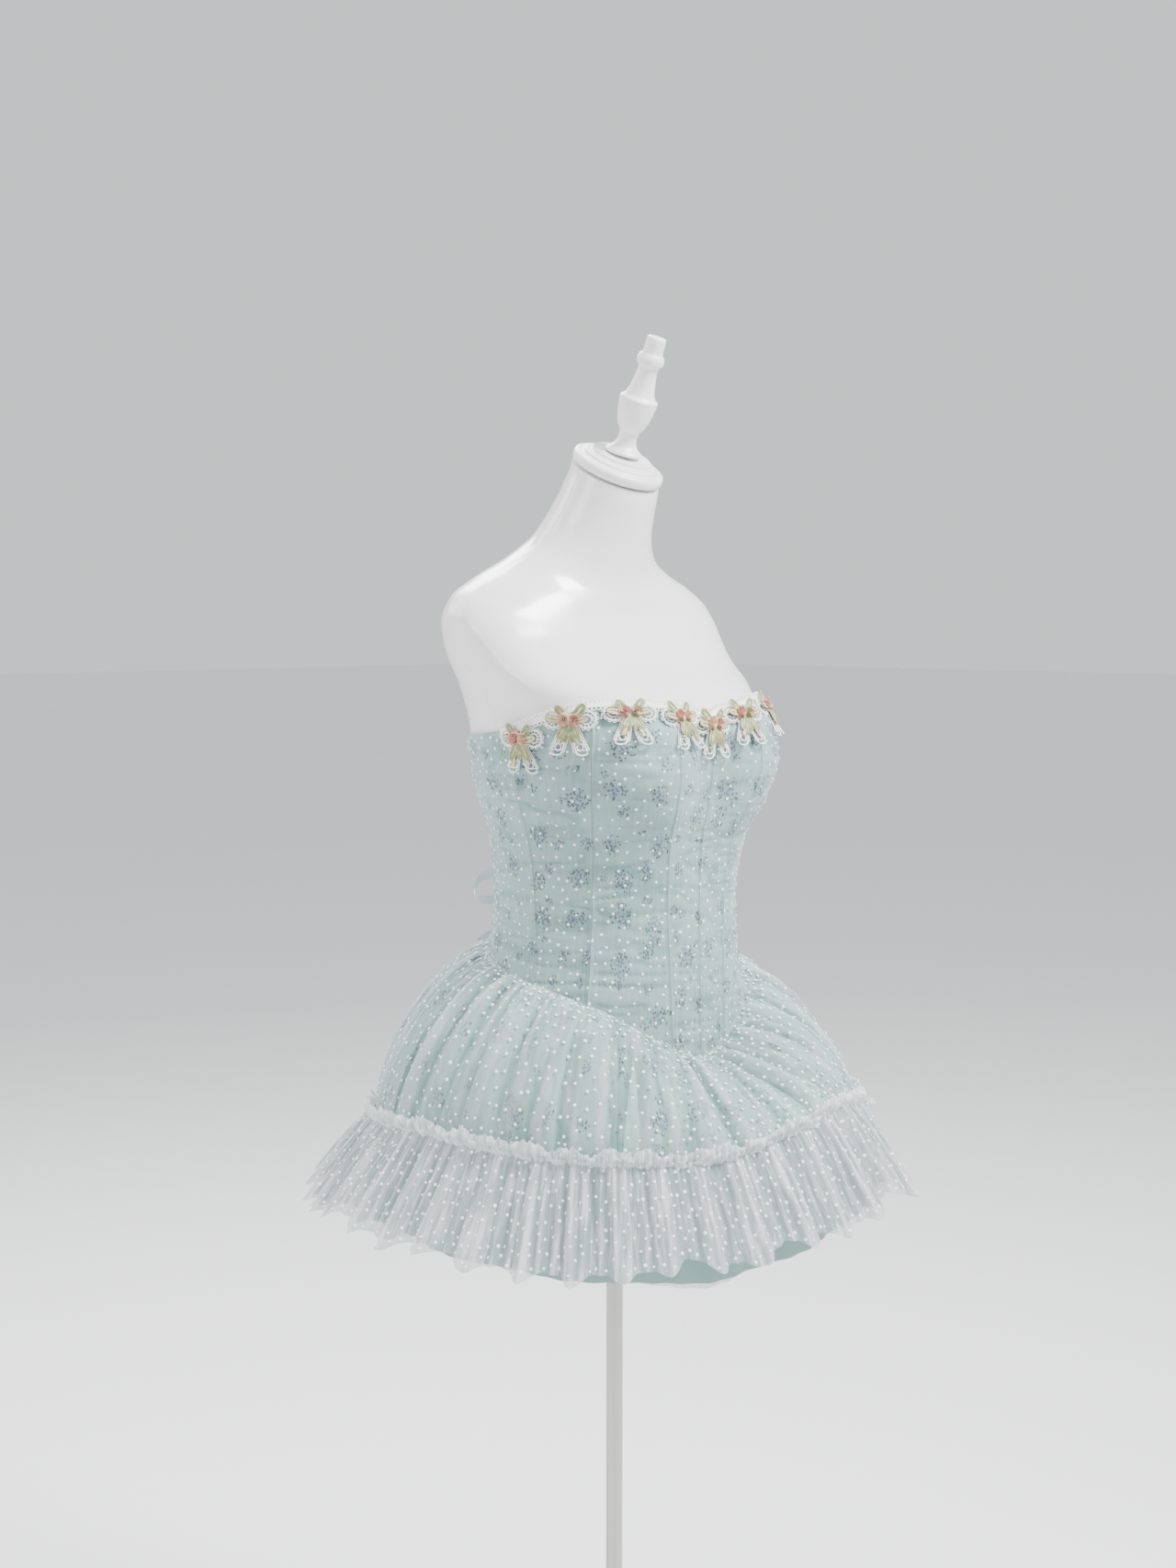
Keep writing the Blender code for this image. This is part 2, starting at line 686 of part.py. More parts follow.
def looped_bow_shape(bow):
    """Outline points and faces of two loops, a knot and two tails, alike on both sides."""
    count = LOOP_CORNERS
    turns = [pi + 0.35 - pi / count + 2 * pi * k / count for k in range(count)]
    right = []
    for inset in (0, bow.band):
        wide, tall = bow.half_wide - inset, bow.half_tall - inset
        right += [(bow.loop_x + wide * cos(t), bow.loop_y + tall * sin(t)) for t in turns]
    points = right + [(-x, y) for x, y in right]
    left = len(right)
    faces = []
    for k in range(count):
        n = (k + 1) % count
        faces.append([k, n, n + count, k + count])
        faces.append([i + left for i in (n, k, k + count, n + count)])
    foot = len(points)
    x, y = bow.foot
    points += [(-x, y), (0.0, y - 0.0005), (x, y)]
    faces.append([left, left + 1, foot, foot + 1, foot + 2, 1, 0])
    tail = foot + 3
    right_tail = [*bow.tail_mid, *bow.tail_end]
    points += [(-x, y) for x, y in right_tail] + right_tail
    faces.append([foot, tail, tail + 1, foot + 1])
    faces.append([tail, tail + 2, tail + 3, tail + 1])
    faces.append([foot + 1, tail + 5, tail + 4, foot + 2])
    faces.append([tail + 5, tail + 7, tail + 6, tail + 4])
    return points, faces


def rose_bow_shape():
    """Two six-sided rose seats side by side, with leaf loops and narrow ribbon tails."""
    rose = 0.0062
    across = rose * cos(pi / 6)
    turns = [pi / 6 + k * pi / 3 for k in range(6)]
    right = [(across + rose * cos(t), rose * sin(t)) for t in turns]
    left = [(-x, y) for x, y in right]
    points = right + [left[0], left[1], left[4], left[5]]
    shared_top, shared_low = 2, 3
    right_rose = [0, 1, shared_top, shared_low, 4, 5]
    left_rose = [6, 7, shared_top, shared_low, 8, 9][::-1]
    base = len(points)
    points += [(0.0205, 0.0150), (0.0120, 0.0185), (-0.0205, 0.0150), (-0.0120, 0.0185)]
    points += [(0.0130, -0.0225), (0.0065, -0.0240), (-0.0130, -0.0225), (-0.0065, -0.0240)]
    faces = [
        right_rose,
        left_rose,
        [1, 0, base, base + 1],
        [6, 7, base + 3, base + 2],
        [4, base + 5, base + 4, 5],
        [9, base + 6, base + 7, 8],
    ]
    return points, faces


ROSE_RINGS = ((0.94, 0.0), (0.97, 0.0030), (0.70, 0.0058), (0.36, 0.0046))


def make_bows():
    lace_points, lace_faces = looped_bow_shape(LACE_BOW)
    rose_points, rose_faces = rose_bow_shape()
    for number, degrees in enumerate(BOW_ANGLES, 1):
        angle = radians(degrees)
        lace_at = on_neckline(angle, BOW_DROP, lace_points)

        def rose_at(x, y, out, lace_at=lace_at):
            return lace_at(x, y, out + TRIM_WALL + GAP)

        plate(f"lace_bow_{number}", lace_points, lace_faces, lace_at, TRIM_WALL, "white_lace")
        raised = ((0, ROSE_RINGS), (1, ROSE_RINGS))
        plate(f"rose_bow_{number}", rose_points, rose_faces, rose_at, TRIM_WALL, "ribbon", raised)


def make_neckline_lace():
    """A scalloped picot edging that stands a little over the bodice's top edge."""
    scallops = 30
    columns = 2 * scallops + 1
    angles = [radians(EDGING_END) * (2 * k / (columns - 1) - 1) for k in range(columns)]
    outer, inner = [], []
    for depth in (EDGING_HEIGHT, -EDGING_DEPTH):
        outer.append([])
        inner.append([])
        for k, angle in enumerate(angles):
            scallop = EDGING_SCALLOP * (k % 2) * (1 if depth > 0 else -1)
            height = neckline(angle) + depth + scallop
            outer[-1].append(on_bodice(angle, height, EDGING_CLEAR + TRIM_WALL))
            inner[-1].append(on_bodice(angle, height, EDGING_CLEAR))
    grid_wall("neckline_lace", outer, inner, "white_lace")


def make_lacing():
    """Two crossing zigzags of ribbon over the opening, and the bow that ties them."""

    def place(x, y, out):
        return on_bodice(pi + x / form_radius(pi, y), y, out)

    for number, side in enumerate((-1, 1)):
        clear = LACING_CLEAR + 0.0014 * number
        points, faces = [], []
        for k in range(LACING_CROSSINGS + 1):
            share = k / LACING_CROSSINGS
            y = LACING_BOTTOM + (LACING_TOP - LACING_BOTTOM) * share
            x = side * (LACING_EDGE + 0.002) * (1 if k % 2 else -1)
            points += [(x - LACING_WIDTH / 2, y), (x + LACING_WIDTH / 2, y)]
            if k:
                faces.append([2 * k - 1, 2 * k + 1, 2 * k, 2 * k - 2])

        def lifted(x, y, out, clear=clear):
            return place(x, y, clear + out)

        plate(f"lacing_{number + 1}", points, faces, lifted, TRIM_WALL, "white_lace")

    def on_lacing(x, y, out):
        height = BACK_BOW_HEIGHT + y
        angle = pi + x / form_radius(pi, BACK_BOW_HEIGHT)
        fall = waist_seam(angle) - height
        if fall > 0:
            down = fall / (waist_seam(angle) - hem("heading", angle))
            return dome(angle, down) + dome_normal(angle, down) * (TAIL_LIFT + out)
        lift = BACK_BOW_LIFT * (x / (BACK_BOW.loop_x + BACK_BOW.half_wide)) ** 2
        return on_bodice(angle, height, LACING_CLEAR + 0.0030 + lift + out)

    points, faces = looped_bow_shape(BACK_BOW)
    plate("back_bow", points, faces, on_lacing, TRIM_WALL, "white_lace")


def clear_scene():
    for thing in list(bpy.data.objects):
        bpy.data.objects.remove(thing, do_unlink=True)


def main():
    clear_scene()
    make_stand()
    make_form()
    make_neck_cap()
    for panel in PANELS:
        for side, sign in SIDES:
            make_panel(panel, side, sign)
    make_skirt()
    make_under_layers()
    make_ruffle()
    make_neckline_lace()
    make_bows()
    make_lacing()


main()
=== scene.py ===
"""Looks of the tulle mini dress, its dress form and its stand, in the part's own frame.

Metres, +Z up; the form faces -Y, so its right side is at -X. Angles run round it from the
front towards +X, in degrees in the tables and in radians in the functions. A point array
ends in x, y, z.
"""

from collections import namedtuple
from math import pi, radians

import bpy
import numpy as np
from mathutils import Matrix, Vector


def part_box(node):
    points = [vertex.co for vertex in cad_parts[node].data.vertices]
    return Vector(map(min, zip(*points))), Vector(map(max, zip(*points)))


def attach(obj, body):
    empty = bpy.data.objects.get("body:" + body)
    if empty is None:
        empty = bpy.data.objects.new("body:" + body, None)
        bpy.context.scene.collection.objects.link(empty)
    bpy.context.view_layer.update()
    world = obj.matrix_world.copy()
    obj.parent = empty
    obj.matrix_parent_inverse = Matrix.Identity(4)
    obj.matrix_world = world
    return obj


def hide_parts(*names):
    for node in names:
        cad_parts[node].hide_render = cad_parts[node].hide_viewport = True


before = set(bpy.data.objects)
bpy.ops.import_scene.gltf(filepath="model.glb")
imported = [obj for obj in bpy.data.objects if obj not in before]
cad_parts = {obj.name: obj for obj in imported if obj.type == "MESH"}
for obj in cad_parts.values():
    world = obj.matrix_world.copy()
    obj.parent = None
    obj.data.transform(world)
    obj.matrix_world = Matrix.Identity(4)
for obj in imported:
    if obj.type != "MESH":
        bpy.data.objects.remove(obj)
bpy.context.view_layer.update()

# The camera stands at the photograph's angle
CAMERA_DISTANCE = 2.015
CAMERA_SIDE = 0.0277
CAMERA_HEIGHT = 1.385
CAMERA_AZIMUTH = radians(-45)
CAMERA_PITCH = radians(4.93)
SENSOR = 36.0
LENS = 45.34

# Cloth walls and the room between pieces
GAP = 0.0003
BODICE_EASE = 0.0012
BODICE_WALL = 0.0020
TRIM_WALL = 0.0010
SEAM_RIDGE = 0.0009
HEADING_RADIUS = 0.243
SKIRT_START = 0.0047
DOME_REACH_POWER = 1.42
DOME_DROP_POWER = 1.50
SKIRT_GATHERS = 28
GATHER_AT_ENDS = 0.0020
GATHER_AT_MIDDLE = 0.0075
LAYER_STEP = 0.0025
LINING_HEM_RADIUS = 0.256
NET_HEM_RADIUS = 0.249
RUFFLE_START = 0.0034
RUFFLE_WAVES = 40
RUFFLE_WAVE_TOP = 0.0030
RUFFLE_WAVE_HEM = 0.0135
FRILL_HEIGHT = 0.011
FRILL_REACH = 0.004
BUST_ANGLE = radians(31)
BUST_SPREAD = radians(17)
BOW_ANGLES = (-81, -61, -40, -19, 0, 19, 40, 61, 81)
BOW_DROP = 0.012
BOW_BEND = 0.150
BOW_HALF_WIDTH = 0.020
BOW_SEAT_BELOW = 0.030
BOW_SEAT_ABOVE = 0.012
EDGING_END = radians(92)
EDGING_CLEAR = SEAM_RIDGE + GAP + 0.0002
PRINT_RADIUS = 0.140

# Spacing and radius of the flocked dots
BODICE_DOTS = (0.0125, 0.00155)
VEIL_DOTS = (0.0135, 0.00165)
RUFFLE_DOTS = (0.0150, 0.00165)

Section = namedtuple("Section", "height set_back half_width front back fullness bust tilt")
FORM = [Section(*row) for row in (
    (0.865, 0.0, 0.1580, 0.1120, 0.1290, 2.2, 0.0, 0),
    (0.900, 0.0, 0.1600, 0.1140, 0.1360, 2.2, 0.0, 0),
    (0.950, 0.0, 0.1540, 0.1155, 0.1380, 2.2, 0.0, 0),
    (1.010, 0.0, 0.1380, 0.1140, 0.1260, 2.2, 0.0, 0),
    (1.050, 0.0, 0.1265, 0.1130, 0.1150, 2.2, 0.0, 0),
    (1.085, 0.0, 0.1230, 0.1120, 0.1100, 2.2, 0.0, 0),
    (1.120, 0.0, 0.1240, 0.1120, 0.1090, 2.2, 0.002, 0),
    (1.160, 0.0, 0.1290, 0.1120, 0.1120, 2.2, 0.010, 0),
    (1.200, 0.0, 0.1400, 0.1135, 0.1190, 2.3, 0.028, 0),
    (1.235, 0.0, 0.1460, 0.1150, 0.1235, 2.4, 0.0365, 0),
    (1.270, 0.0, 0.1490, 0.1150, 0.1260, 2.5, 0.030, 0),
    (1.310, 0.006, 0.1590, 0.1075, 0.1260, 2.5, 0.009, 2),
    (1.345, 0.027, 0.1710, 0.0880, 0.1130, 2.4, 0.0, 5),
    (1.375, 0.038, 0.1770, 0.0720, 0.0940, 2.3, 0.0, 9),
    (1.395, 0.040, 0.1710, 0.0640, 0.0830, 2.1, 0.0, 12),
    (1.412, 0.038, 0.1480, 0.0590, 0.0750, 1.9, 0.0, 15),
    (1.430, 0.035, 0.1080, 0.0540, 0.0680, 1.8, 0.0, 19),
    (1.450, 0.028, 0.0760, 0.0500, 0.0600, 1.9, 0.0, 22),
    (1.475, 0.019, 0.0590, 0.0480, 0.0540, 2.0, 0.0, 25),
    (1.500, 0.009, 0.0520, 0.0470, 0.0490, 2.0, 0.0, 27),
    (1.526, 0.000, 0.0485, 0.0460, 0.0465, 2.0, 0.0, 28),
)]
FINIAL_TILT = 23

Edge = namedtuple("Edge", "angle neckline seam")
BODICE_EDGES = [Edge(*row) for row in (
    (0, 1.288, 0.944), (10, 1.294, 0.948), (20, 1.298, 0.959), (35, 1.303, 0.978),
    (50, 1.303, 0.998), (70, 1.288, 1.015), (86, 1.274, 1.024), (135, 1.262, 1.040),
    (180, 1.258, 1.045),
)]

Hem = namedtuple("Hem", "angle heading ruffle_hem ruffle_reach lining_hem net_hem")
SKIRT_HEM = [Hem(*row) for row in (
    (-180, 0.882, 0.798, 0.312, 0.790, 0.800), (-135, 0.876, 0.797, 0.315, 0.790, 0.800),
    (-90, 0.893, 0.805, 0.312, 0.786, 0.796), (-55, 0.886, 0.798, 0.310, 0.777, 0.782),
    (-27, 0.883, 0.800, 0.308, 0.772, 0.765), (0, 0.900, 0.814, 0.306, 0.784, 0.790),
    (16, 0.908, 0.826, 0.306, 0.788, 0.798), (45, 0.887, 0.799, 0.305, 0.790, 0.800),
    (62, 0.890, 0.808, 0.308, 0.790, 0.800), (74, 0.899, 0.852, 0.325, 0.790, 0.800),
    (88, 0.890, 0.812, 0.312, 0.790, 0.800), (135, 0.880, 0.798, 0.310, 0.790, 0.800),
    (180, 0.882, 0.798, 0.312, 0.790, 0.800),
)]

# Each bodice panel lies between two seams, which lean a little from neckline to waist
Seam = namedtuple("Seam", "top foot")
SEAMS = (Seam(0, 0), Seam(23, 18), Seam(53, 57), Seam(87, 82), Seam(132, 132), Seam(174, 174))
PANEL_NAMES = ("center_front", "side_front", "side", "side_back", "back")
QUARTERS = (("front", -45), ("left", 45), ("back", 135), ("right", 225))
HALVES = (("front", -90), ("back", 90))

Turn = namedtuple("Turn", "radius height")
NECK_CAP = [Turn(*row) for row in (
    (0.0400, 0.0000), (0.0430, 0.0018), (0.0470, 0.0030), (0.0478, 0.0085), (0.0465, 0.0125),
    (0.0385, 0.0135), (0.0380, 0.0165), (0.0315, 0.0175), (0.0306, 0.0205),
)]
FINIAL = [Turn(*row) for row in (
    (0.0185, 0.0000), (0.0190, 0.0025), (0.0120, 0.0075), (0.0092, 0.0150), (0.0100, 0.0230),
    (0.0145, 0.0290), (0.0180, 0.0420), (0.0195, 0.0540), (0.0195, 0.0570), (0.0150, 0.0600),
    (0.0120, 0.0700), (0.0095, 0.0890), (0.0135, 0.0925), (0.0140, 0.0975), (0.0120, 0.1020),
    (0.0100, 0.1030), (0.0098, 0.1180), (0.0085, 0.1195),
)]


def smooth(rows, column, at, by):
    """A column of a table read between its rows, with no overshoot and level at both ends."""
    x = np.array([getattr(row, by) for row in rows], float)
    y = np.array([getattr(row, column) for row in rows], float)
    step = np.diff(x)
    rise = np.diff(y) / step
    before, after = rise[:-1], rise[1:]
    same_way = before * after > 0
    slope = np.zeros(len(x))
    slope[1:-1] = np.where(same_way, 2 * before * after / np.where(same_way, before + after, 1), 0)
    at = np.clip(at, x[0], x[-1])
    k = np.clip(np.searchsorted(x, at, side="right") - 1, 0, len(step) - 1)
    t = (at - x[k]) / step[k]
    return (
        (2 * t**3 - 3 * t**2 + 1) * y[k]
        + (t**3 - 2 * t**2 + t) * step[k] * slope[k]
        + (3 * t**2 - 2 * t**3) * y[k + 1]
        + (t**3 - t**2) * step[k] * slope[k + 1]
    )


def turned_to(angle):
    """The same angle between -pi and pi."""
    return (angle + pi) % (2 * pi) - pi


def stacked(x, y, z):
    return np.stack(np.broadcast_arrays(x, y, z), -1)


def form_radius(angle, height):
    side = smooth(FORM, "half_width", height, "height")
    front = smooth(FORM, "front", height, "height")
    depth = np.where(np.cos(angle) > 0, front, smooth(FORM, "back", height, "height"))
    power = smooth(FORM, "fullness", height, "height")
    oval = (np.abs(np.sin(angle)) / side) ** power + (np.abs(np.cos(angle)) / depth) ** power
    swell = sum(
        np.exp(-0.5 * ((turned_to(angle) - at) / BUST_SPREAD) ** 2)
        for at in (BUST_ANGLE, -BUST_ANGLE)
    )
    return oval ** (-1 / power) + smooth(FORM, "bust", height, "height") * swell


def on_form(angle, height, out=0.0):
    radius = form_radius(angle, height) + out
    back = -radius * np.cos(angle)
    tilt = np.radians(smooth(FORM, "tilt", height, "height"))
    set_back = smooth(FORM, "set_back", height, "height")
    y, z = set_back + back * np.cos(tilt), height + back * np.sin(tilt)
    return stacked(radius * np.sin(angle), y, z)


def on_bodice(angle, height, out):
    return on_form(angle, height, BODICE_EASE + BODICE_WALL + out)


def neckline(angle):
    return smooth(BODICE_EDGES, "neckline", np.degrees(np.abs(turned_to(angle))), "angle")


def waist_seam(angle):
    return smooth(BODICE_EDGES, "seam", np.degrees(np.abs(turned_to(angle))), "angle")


def hem(column, angle):
    return smooth(SKIRT_HEM, column, np.degrees(turned_to(angle)), "angle")


def dome(angle, down):
    """The skirt's smooth form, from the waist seam at 0 to the ruffle's heading at 1."""
    top = waist_seam(angle)
    start = form_radius(angle, top) + SKIRT_START
    low = hem("heading", angle)
    down = np.clip(down, 0.0, 1.0)
    out = np.sin(down * pi / 2) ** DOME_REACH_POWER
    drop = np.abs(np.cos(down * pi / 2)) ** DOME_DROP_POWER
    radius = start + (HEADING_RADIUS - start) * out
    return round_body(radius, angle, low + (top - low) * drop)


def round_body(radius, angle, height):
    """Points this far from the upright axis, at these angles and heights."""
    return stacked(radius * np.sin(angle), -radius * np.cos(angle), height)


def eased(share):
    """0 to 1, slow at both ends."""
    share = np.clip(share, 0, 1)
    return share * share * (3 - 2 * share)


def unit(vectors):
    return vectors / np.maximum(np.linalg.norm(vectors, axis=-1, keepdims=True), 1e-12)


def dome_normal(angle, down):
    step = 0.01
    along = dome(angle, down + step) - dome(angle, down - step)
    around = dome(angle + step, down) - dome(angle - step, down)
    return unit(np.cross(along, around))


def uneven(angle, count, shift):
    """A phase that advances count turns round the body, at an uneven pace."""
    wander = 0.5 * np.sin(3 * angle + shift) + 0.35 * np.sin(7 * angle + 2 * shift)
    return count * angle + wander + 0.15 * np.sin(13 * angle)


def noise(points, seed):
    """Smooth noise from -1 to 1, with one value to each unit of space."""
    cell = np.floor(points).astype(np.int64)
    t = points - cell
    t = t * t * (3 - 2 * t)
    total = 0.0
    for corner in np.ndindex(2, 2, 2):
        at = cell + np.array(corner)
        mixed = at[..., 0] * 73856093 ^ at[..., 1] * 19349663 ^ at[..., 2] * 83492791
        mixed = (mixed ^ seed * 2654435761) & 0xFFFFFFFF
        mixed = ((mixed ^ mixed >> 15) * 2246822519) & 0xFFFFFFFF
        mixed = ((mixed ^ mixed >> 13) * 3266489917) & 0xFFFFFFFF
        weight = np.prod(np.where(corner, t, 1 - t), -1)
        total = total + weight * (((mixed ^ mixed >> 16) & 0xFFFF) / 32767.5 - 1)
    return total


def body_noise(angle, height, around, up, seed, radius=0.15):
    """Noise on the body whose patches are this wide round it and this tall."""
    x, y = radius * np.sin(angle) / around, radius * np.cos(angle) / around
    return noise(stacked(x, y, height / up), seed)


def body_grid(first, last, columns, downs):
    """Angles in radians and downs as two grids, rows going down."""
    return np.meshgrid(np.linspace(first, last, columns), downs)


class Shell:
    """One sheet of cloth as a grid of points, with its cloth coordinates in metres."""

    def __init__(self, points, around, down):
        self.points = points
        self.cloth = np.stack([around, down], -1)
        along = np.gradient(points, axis=0)
        across = np.gradient(points, axis=1)
        self.across = unit(across)
        self.normals = unit(np.cross(along, across))

    def read(self, grid, rows, columns):
        """A grid read between its points."""
        r = np.clip(np.floor(rows).astype(int), 0, grid.shape[0] - 2)
        c = np.clip(np.floor(columns).astype(int), 0, grid.shape[1] - 2)
        u, v = (rows - r)[:, None], (columns - c)[:, None]
        upper = grid[r, c] * (1 - v) + grid[r, c + 1] * v
        lower = grid[r + 1, c] * (1 - v) + grid[r + 1, c + 1] * v
        return upper * (1 - u) + lower * u

    def size(self):
        """Its width along its longest row, its mean length and its area."""
        rows = np.linalg.norm(np.diff(self.points, axis=1), axis=-1).sum(1)
        columns = np.linalg.norm(np.diff(self.points, axis=0), axis=-1).sum(0)
        a = self.points[1:, 1:] - self.points[:-1, :-1]
        b = self.points[1:, :-1] - self.points[:-1, 1:]
        area = 0.5 * np.linalg.norm(np.cross(a, b), axis=-1).sum()
        return rows.max(), columns.mean(), area


def placed(name, data):
    made = bpy.data.objects.new(name, data)
    bpy.context.scene.collection.objects.link(made)
    return made


def mesh_object(name, points, faces, material, cloth=None, values=None):
    """A smooth mesh that rides on the part's one body."""
    mesh = bpy.data.meshes.new(name)
    mesh.from_pydata(np.asarray(points, float).reshape(-1, 3).tolist(), [], faces)
    if cloth is not None:
        corners = np.zeros(len(mesh.loops), np.int32)
        mesh.loops.foreach_get("vertex_index", corners)
        layer = mesh.uv_layers.new(name="Cloth")
        layer.data.foreach_set("uv", cloth.reshape(-1, 2)[corners].astype(np.float32).ravel())
    if values is not None:
        # Fold holds how high each point lies in its fold, which the cloth paints turn into painted
        # shade and painted highlight
        attribute = mesh.attributes.new("Fold", "FLOAT", "POINT")
        attribute.data.foreach_set("value", np.asarray(values, np.float32).ravel())
    mesh.materials.append(material)
    mesh.shade_smooth()
    made = placed(name, mesh)
    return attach(made, "root")


def grid_faces(rows, columns, first=0, closed=False):
    """Quads between a grid's points, facing outwards where rows go down the body."""
    index = np.arange(rows * columns).reshape(rows, columns) + first
    if closed:
        index = np.concatenate([index, index[:, :1]], 1)
    a, b, c, d = index[:-1, :-1], index[1:, :-1], index[1:, 1:], index[:-1, 1:]
    return np.stack([a, b, c, d], -1).reshape(-1, 4).tolist()


def cloth_object(name, shell, material, replaces=(), values=None):
    """A shell as one mesh of cloth, with its cloth coordinates."""
    rows, columns = shell.points.shape[:2]
    faces = grid_faces(rows, columns)
    made = mesh_object(name, shell.points, faces, material, shell.cloth, values)
    width, length, area = shell.size()
    if replaces:
        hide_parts(*replaces)
    return made


class Joined:
    """Many small shapes gathered into one mesh."""

    def __init__(self):
        self.points = []
        self.faces = []
        self.count = 0

    def add(self, points, faces):
        """faces are lists of indices into these points."""
        points = np.asarray(points, float).reshape(-1, 3)
        self.points.append(points)
        self.faces += [[i + self.count for i in face] for face in faces]
        self.count += len(points)

    def tube(self, path, radius, sides=5, closed=False, flat=None):
        """A cord along a path; flat is the direction in which it is only half as thick."""
        path = np.asarray(path, float)
        if closed:
            along = unit(np.roll(path, -1, 0) - np.roll(path, 1, 0))
        else:
            along = unit(np.gradient(path, axis=0))
        up = np.broadcast_to(np.array([0.3, 0.2, 1.0]) if flat is None else flat, path.shape)
        side = unit(np.cross(along, up))
        over = np.cross(side, along)
        thin = 0.6 if flat is not None else 1.0
        turns = 2 * pi * np.arange(sides) / sides
        ring = side[:, None] * np.cos(turns)[:, None]
        ring = ring + over[:, None] * (thin * np.sin(turns))[:, None]
        points = path[:, None] + ring * np.reshape(radius, (-1, 1, 1))
        rows = len(path)
        if closed:
            points = np.concatenate([points, points[:1]])
            rows += 1
        self.add(points, grid_faces(rows, sides, closed=True))
        if not closed:
            caps = [list(range(sides)), [(rows - 1) * sides + k for k in range(sides)]]
            self.faces += [[i + self.count - rows * sides for i in cap] for cap in caps]

    def make(self, name, material, slot, replaces=()):
        made = mesh_object(name, np.concatenate(self.points), self.faces, material)
        if replaces:
            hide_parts(*replaces)
        return made


def scatter_dots(name, shell, spacing, radius, seed, material, top=0.0, foot=0.0):
    """White flocked dots over a shell, on a loose staggered lattice of the cloth."""
    rng = np.random.default_rng(seed)
    rows, columns = shell.points.shape[:2]
    span = shell.cloth[:, -1].mean(0)[0] - shell.cloth[:, 0].mean(0)[0]
    drop = abs(shell.cloth[-1].mean(0)[1] - shell.cloth[0].mean(0)[1])
    across, down = max(int(span / spacing), 1), max(int(drop / (0.86 * spacing)), 1)
    c, r = np.meshgrid(np.arange(across) + 0.5, np.arange(down) + 0.5)
    c = c + 0.5 * (np.arange(down)[:, None] % 2) - 0.25 + rng.uniform(-0.28, 0.28, c.shape)
    r = r + rng.uniform(-0.28, 0.28, r.shape)
    c, r = (c / across).ravel(), (r / down).ravel()
    keep = (c > 0.004) & (c < 0.996) & (r > 0.01 + top) & (r < 0.99 - foot)
    c, r = c[keep] * (columns - 1), r[keep] * (rows - 1)
    middle = shell.read(shell.points, r, c)
    normal = unit(shell.read(shell.normals, r, c))
    side = unit(np.cross(normal, unit(shell.read(shell.across, r, c))))
    across_dot = np.cross(side, normal)
    count, corners = len(middle), 6
    reach = radius * rng.uniform(0.78, 1.15, count)[:, None, None]
    turns = 2 * pi * np.arange(corners) / corners
    ring = across_dot[:, None] * np.cos(turns)[:, None] + side[:, None] * np.sin(turns)[:, None]
    rim = middle[:, None] + normal[:, None] * 0.00025 + ring * reach
    crown = middle[:, None] + normal[:, None] * 0.00065 + ring * reach * 0.55
    peak = middle + normal * 0.00080
    points = np.concatenate([rim, crown, peak[:, None]], 1)
    faces = []
    for k in range(corners):
        n = (k + 1) % corners
        faces.append([k, n, n + corners, k + corners])
        faces.append([k + corners, n + corners, 2 * corners])
    made = Joined()
    stride = 2 * corners + 1
    made.points = [points.reshape(-1, 3)]
    made.faces = [[i + stride * j for i in face] for j in range(count) for face in faces]
    return made.make(name, material, "dotted_tulle")


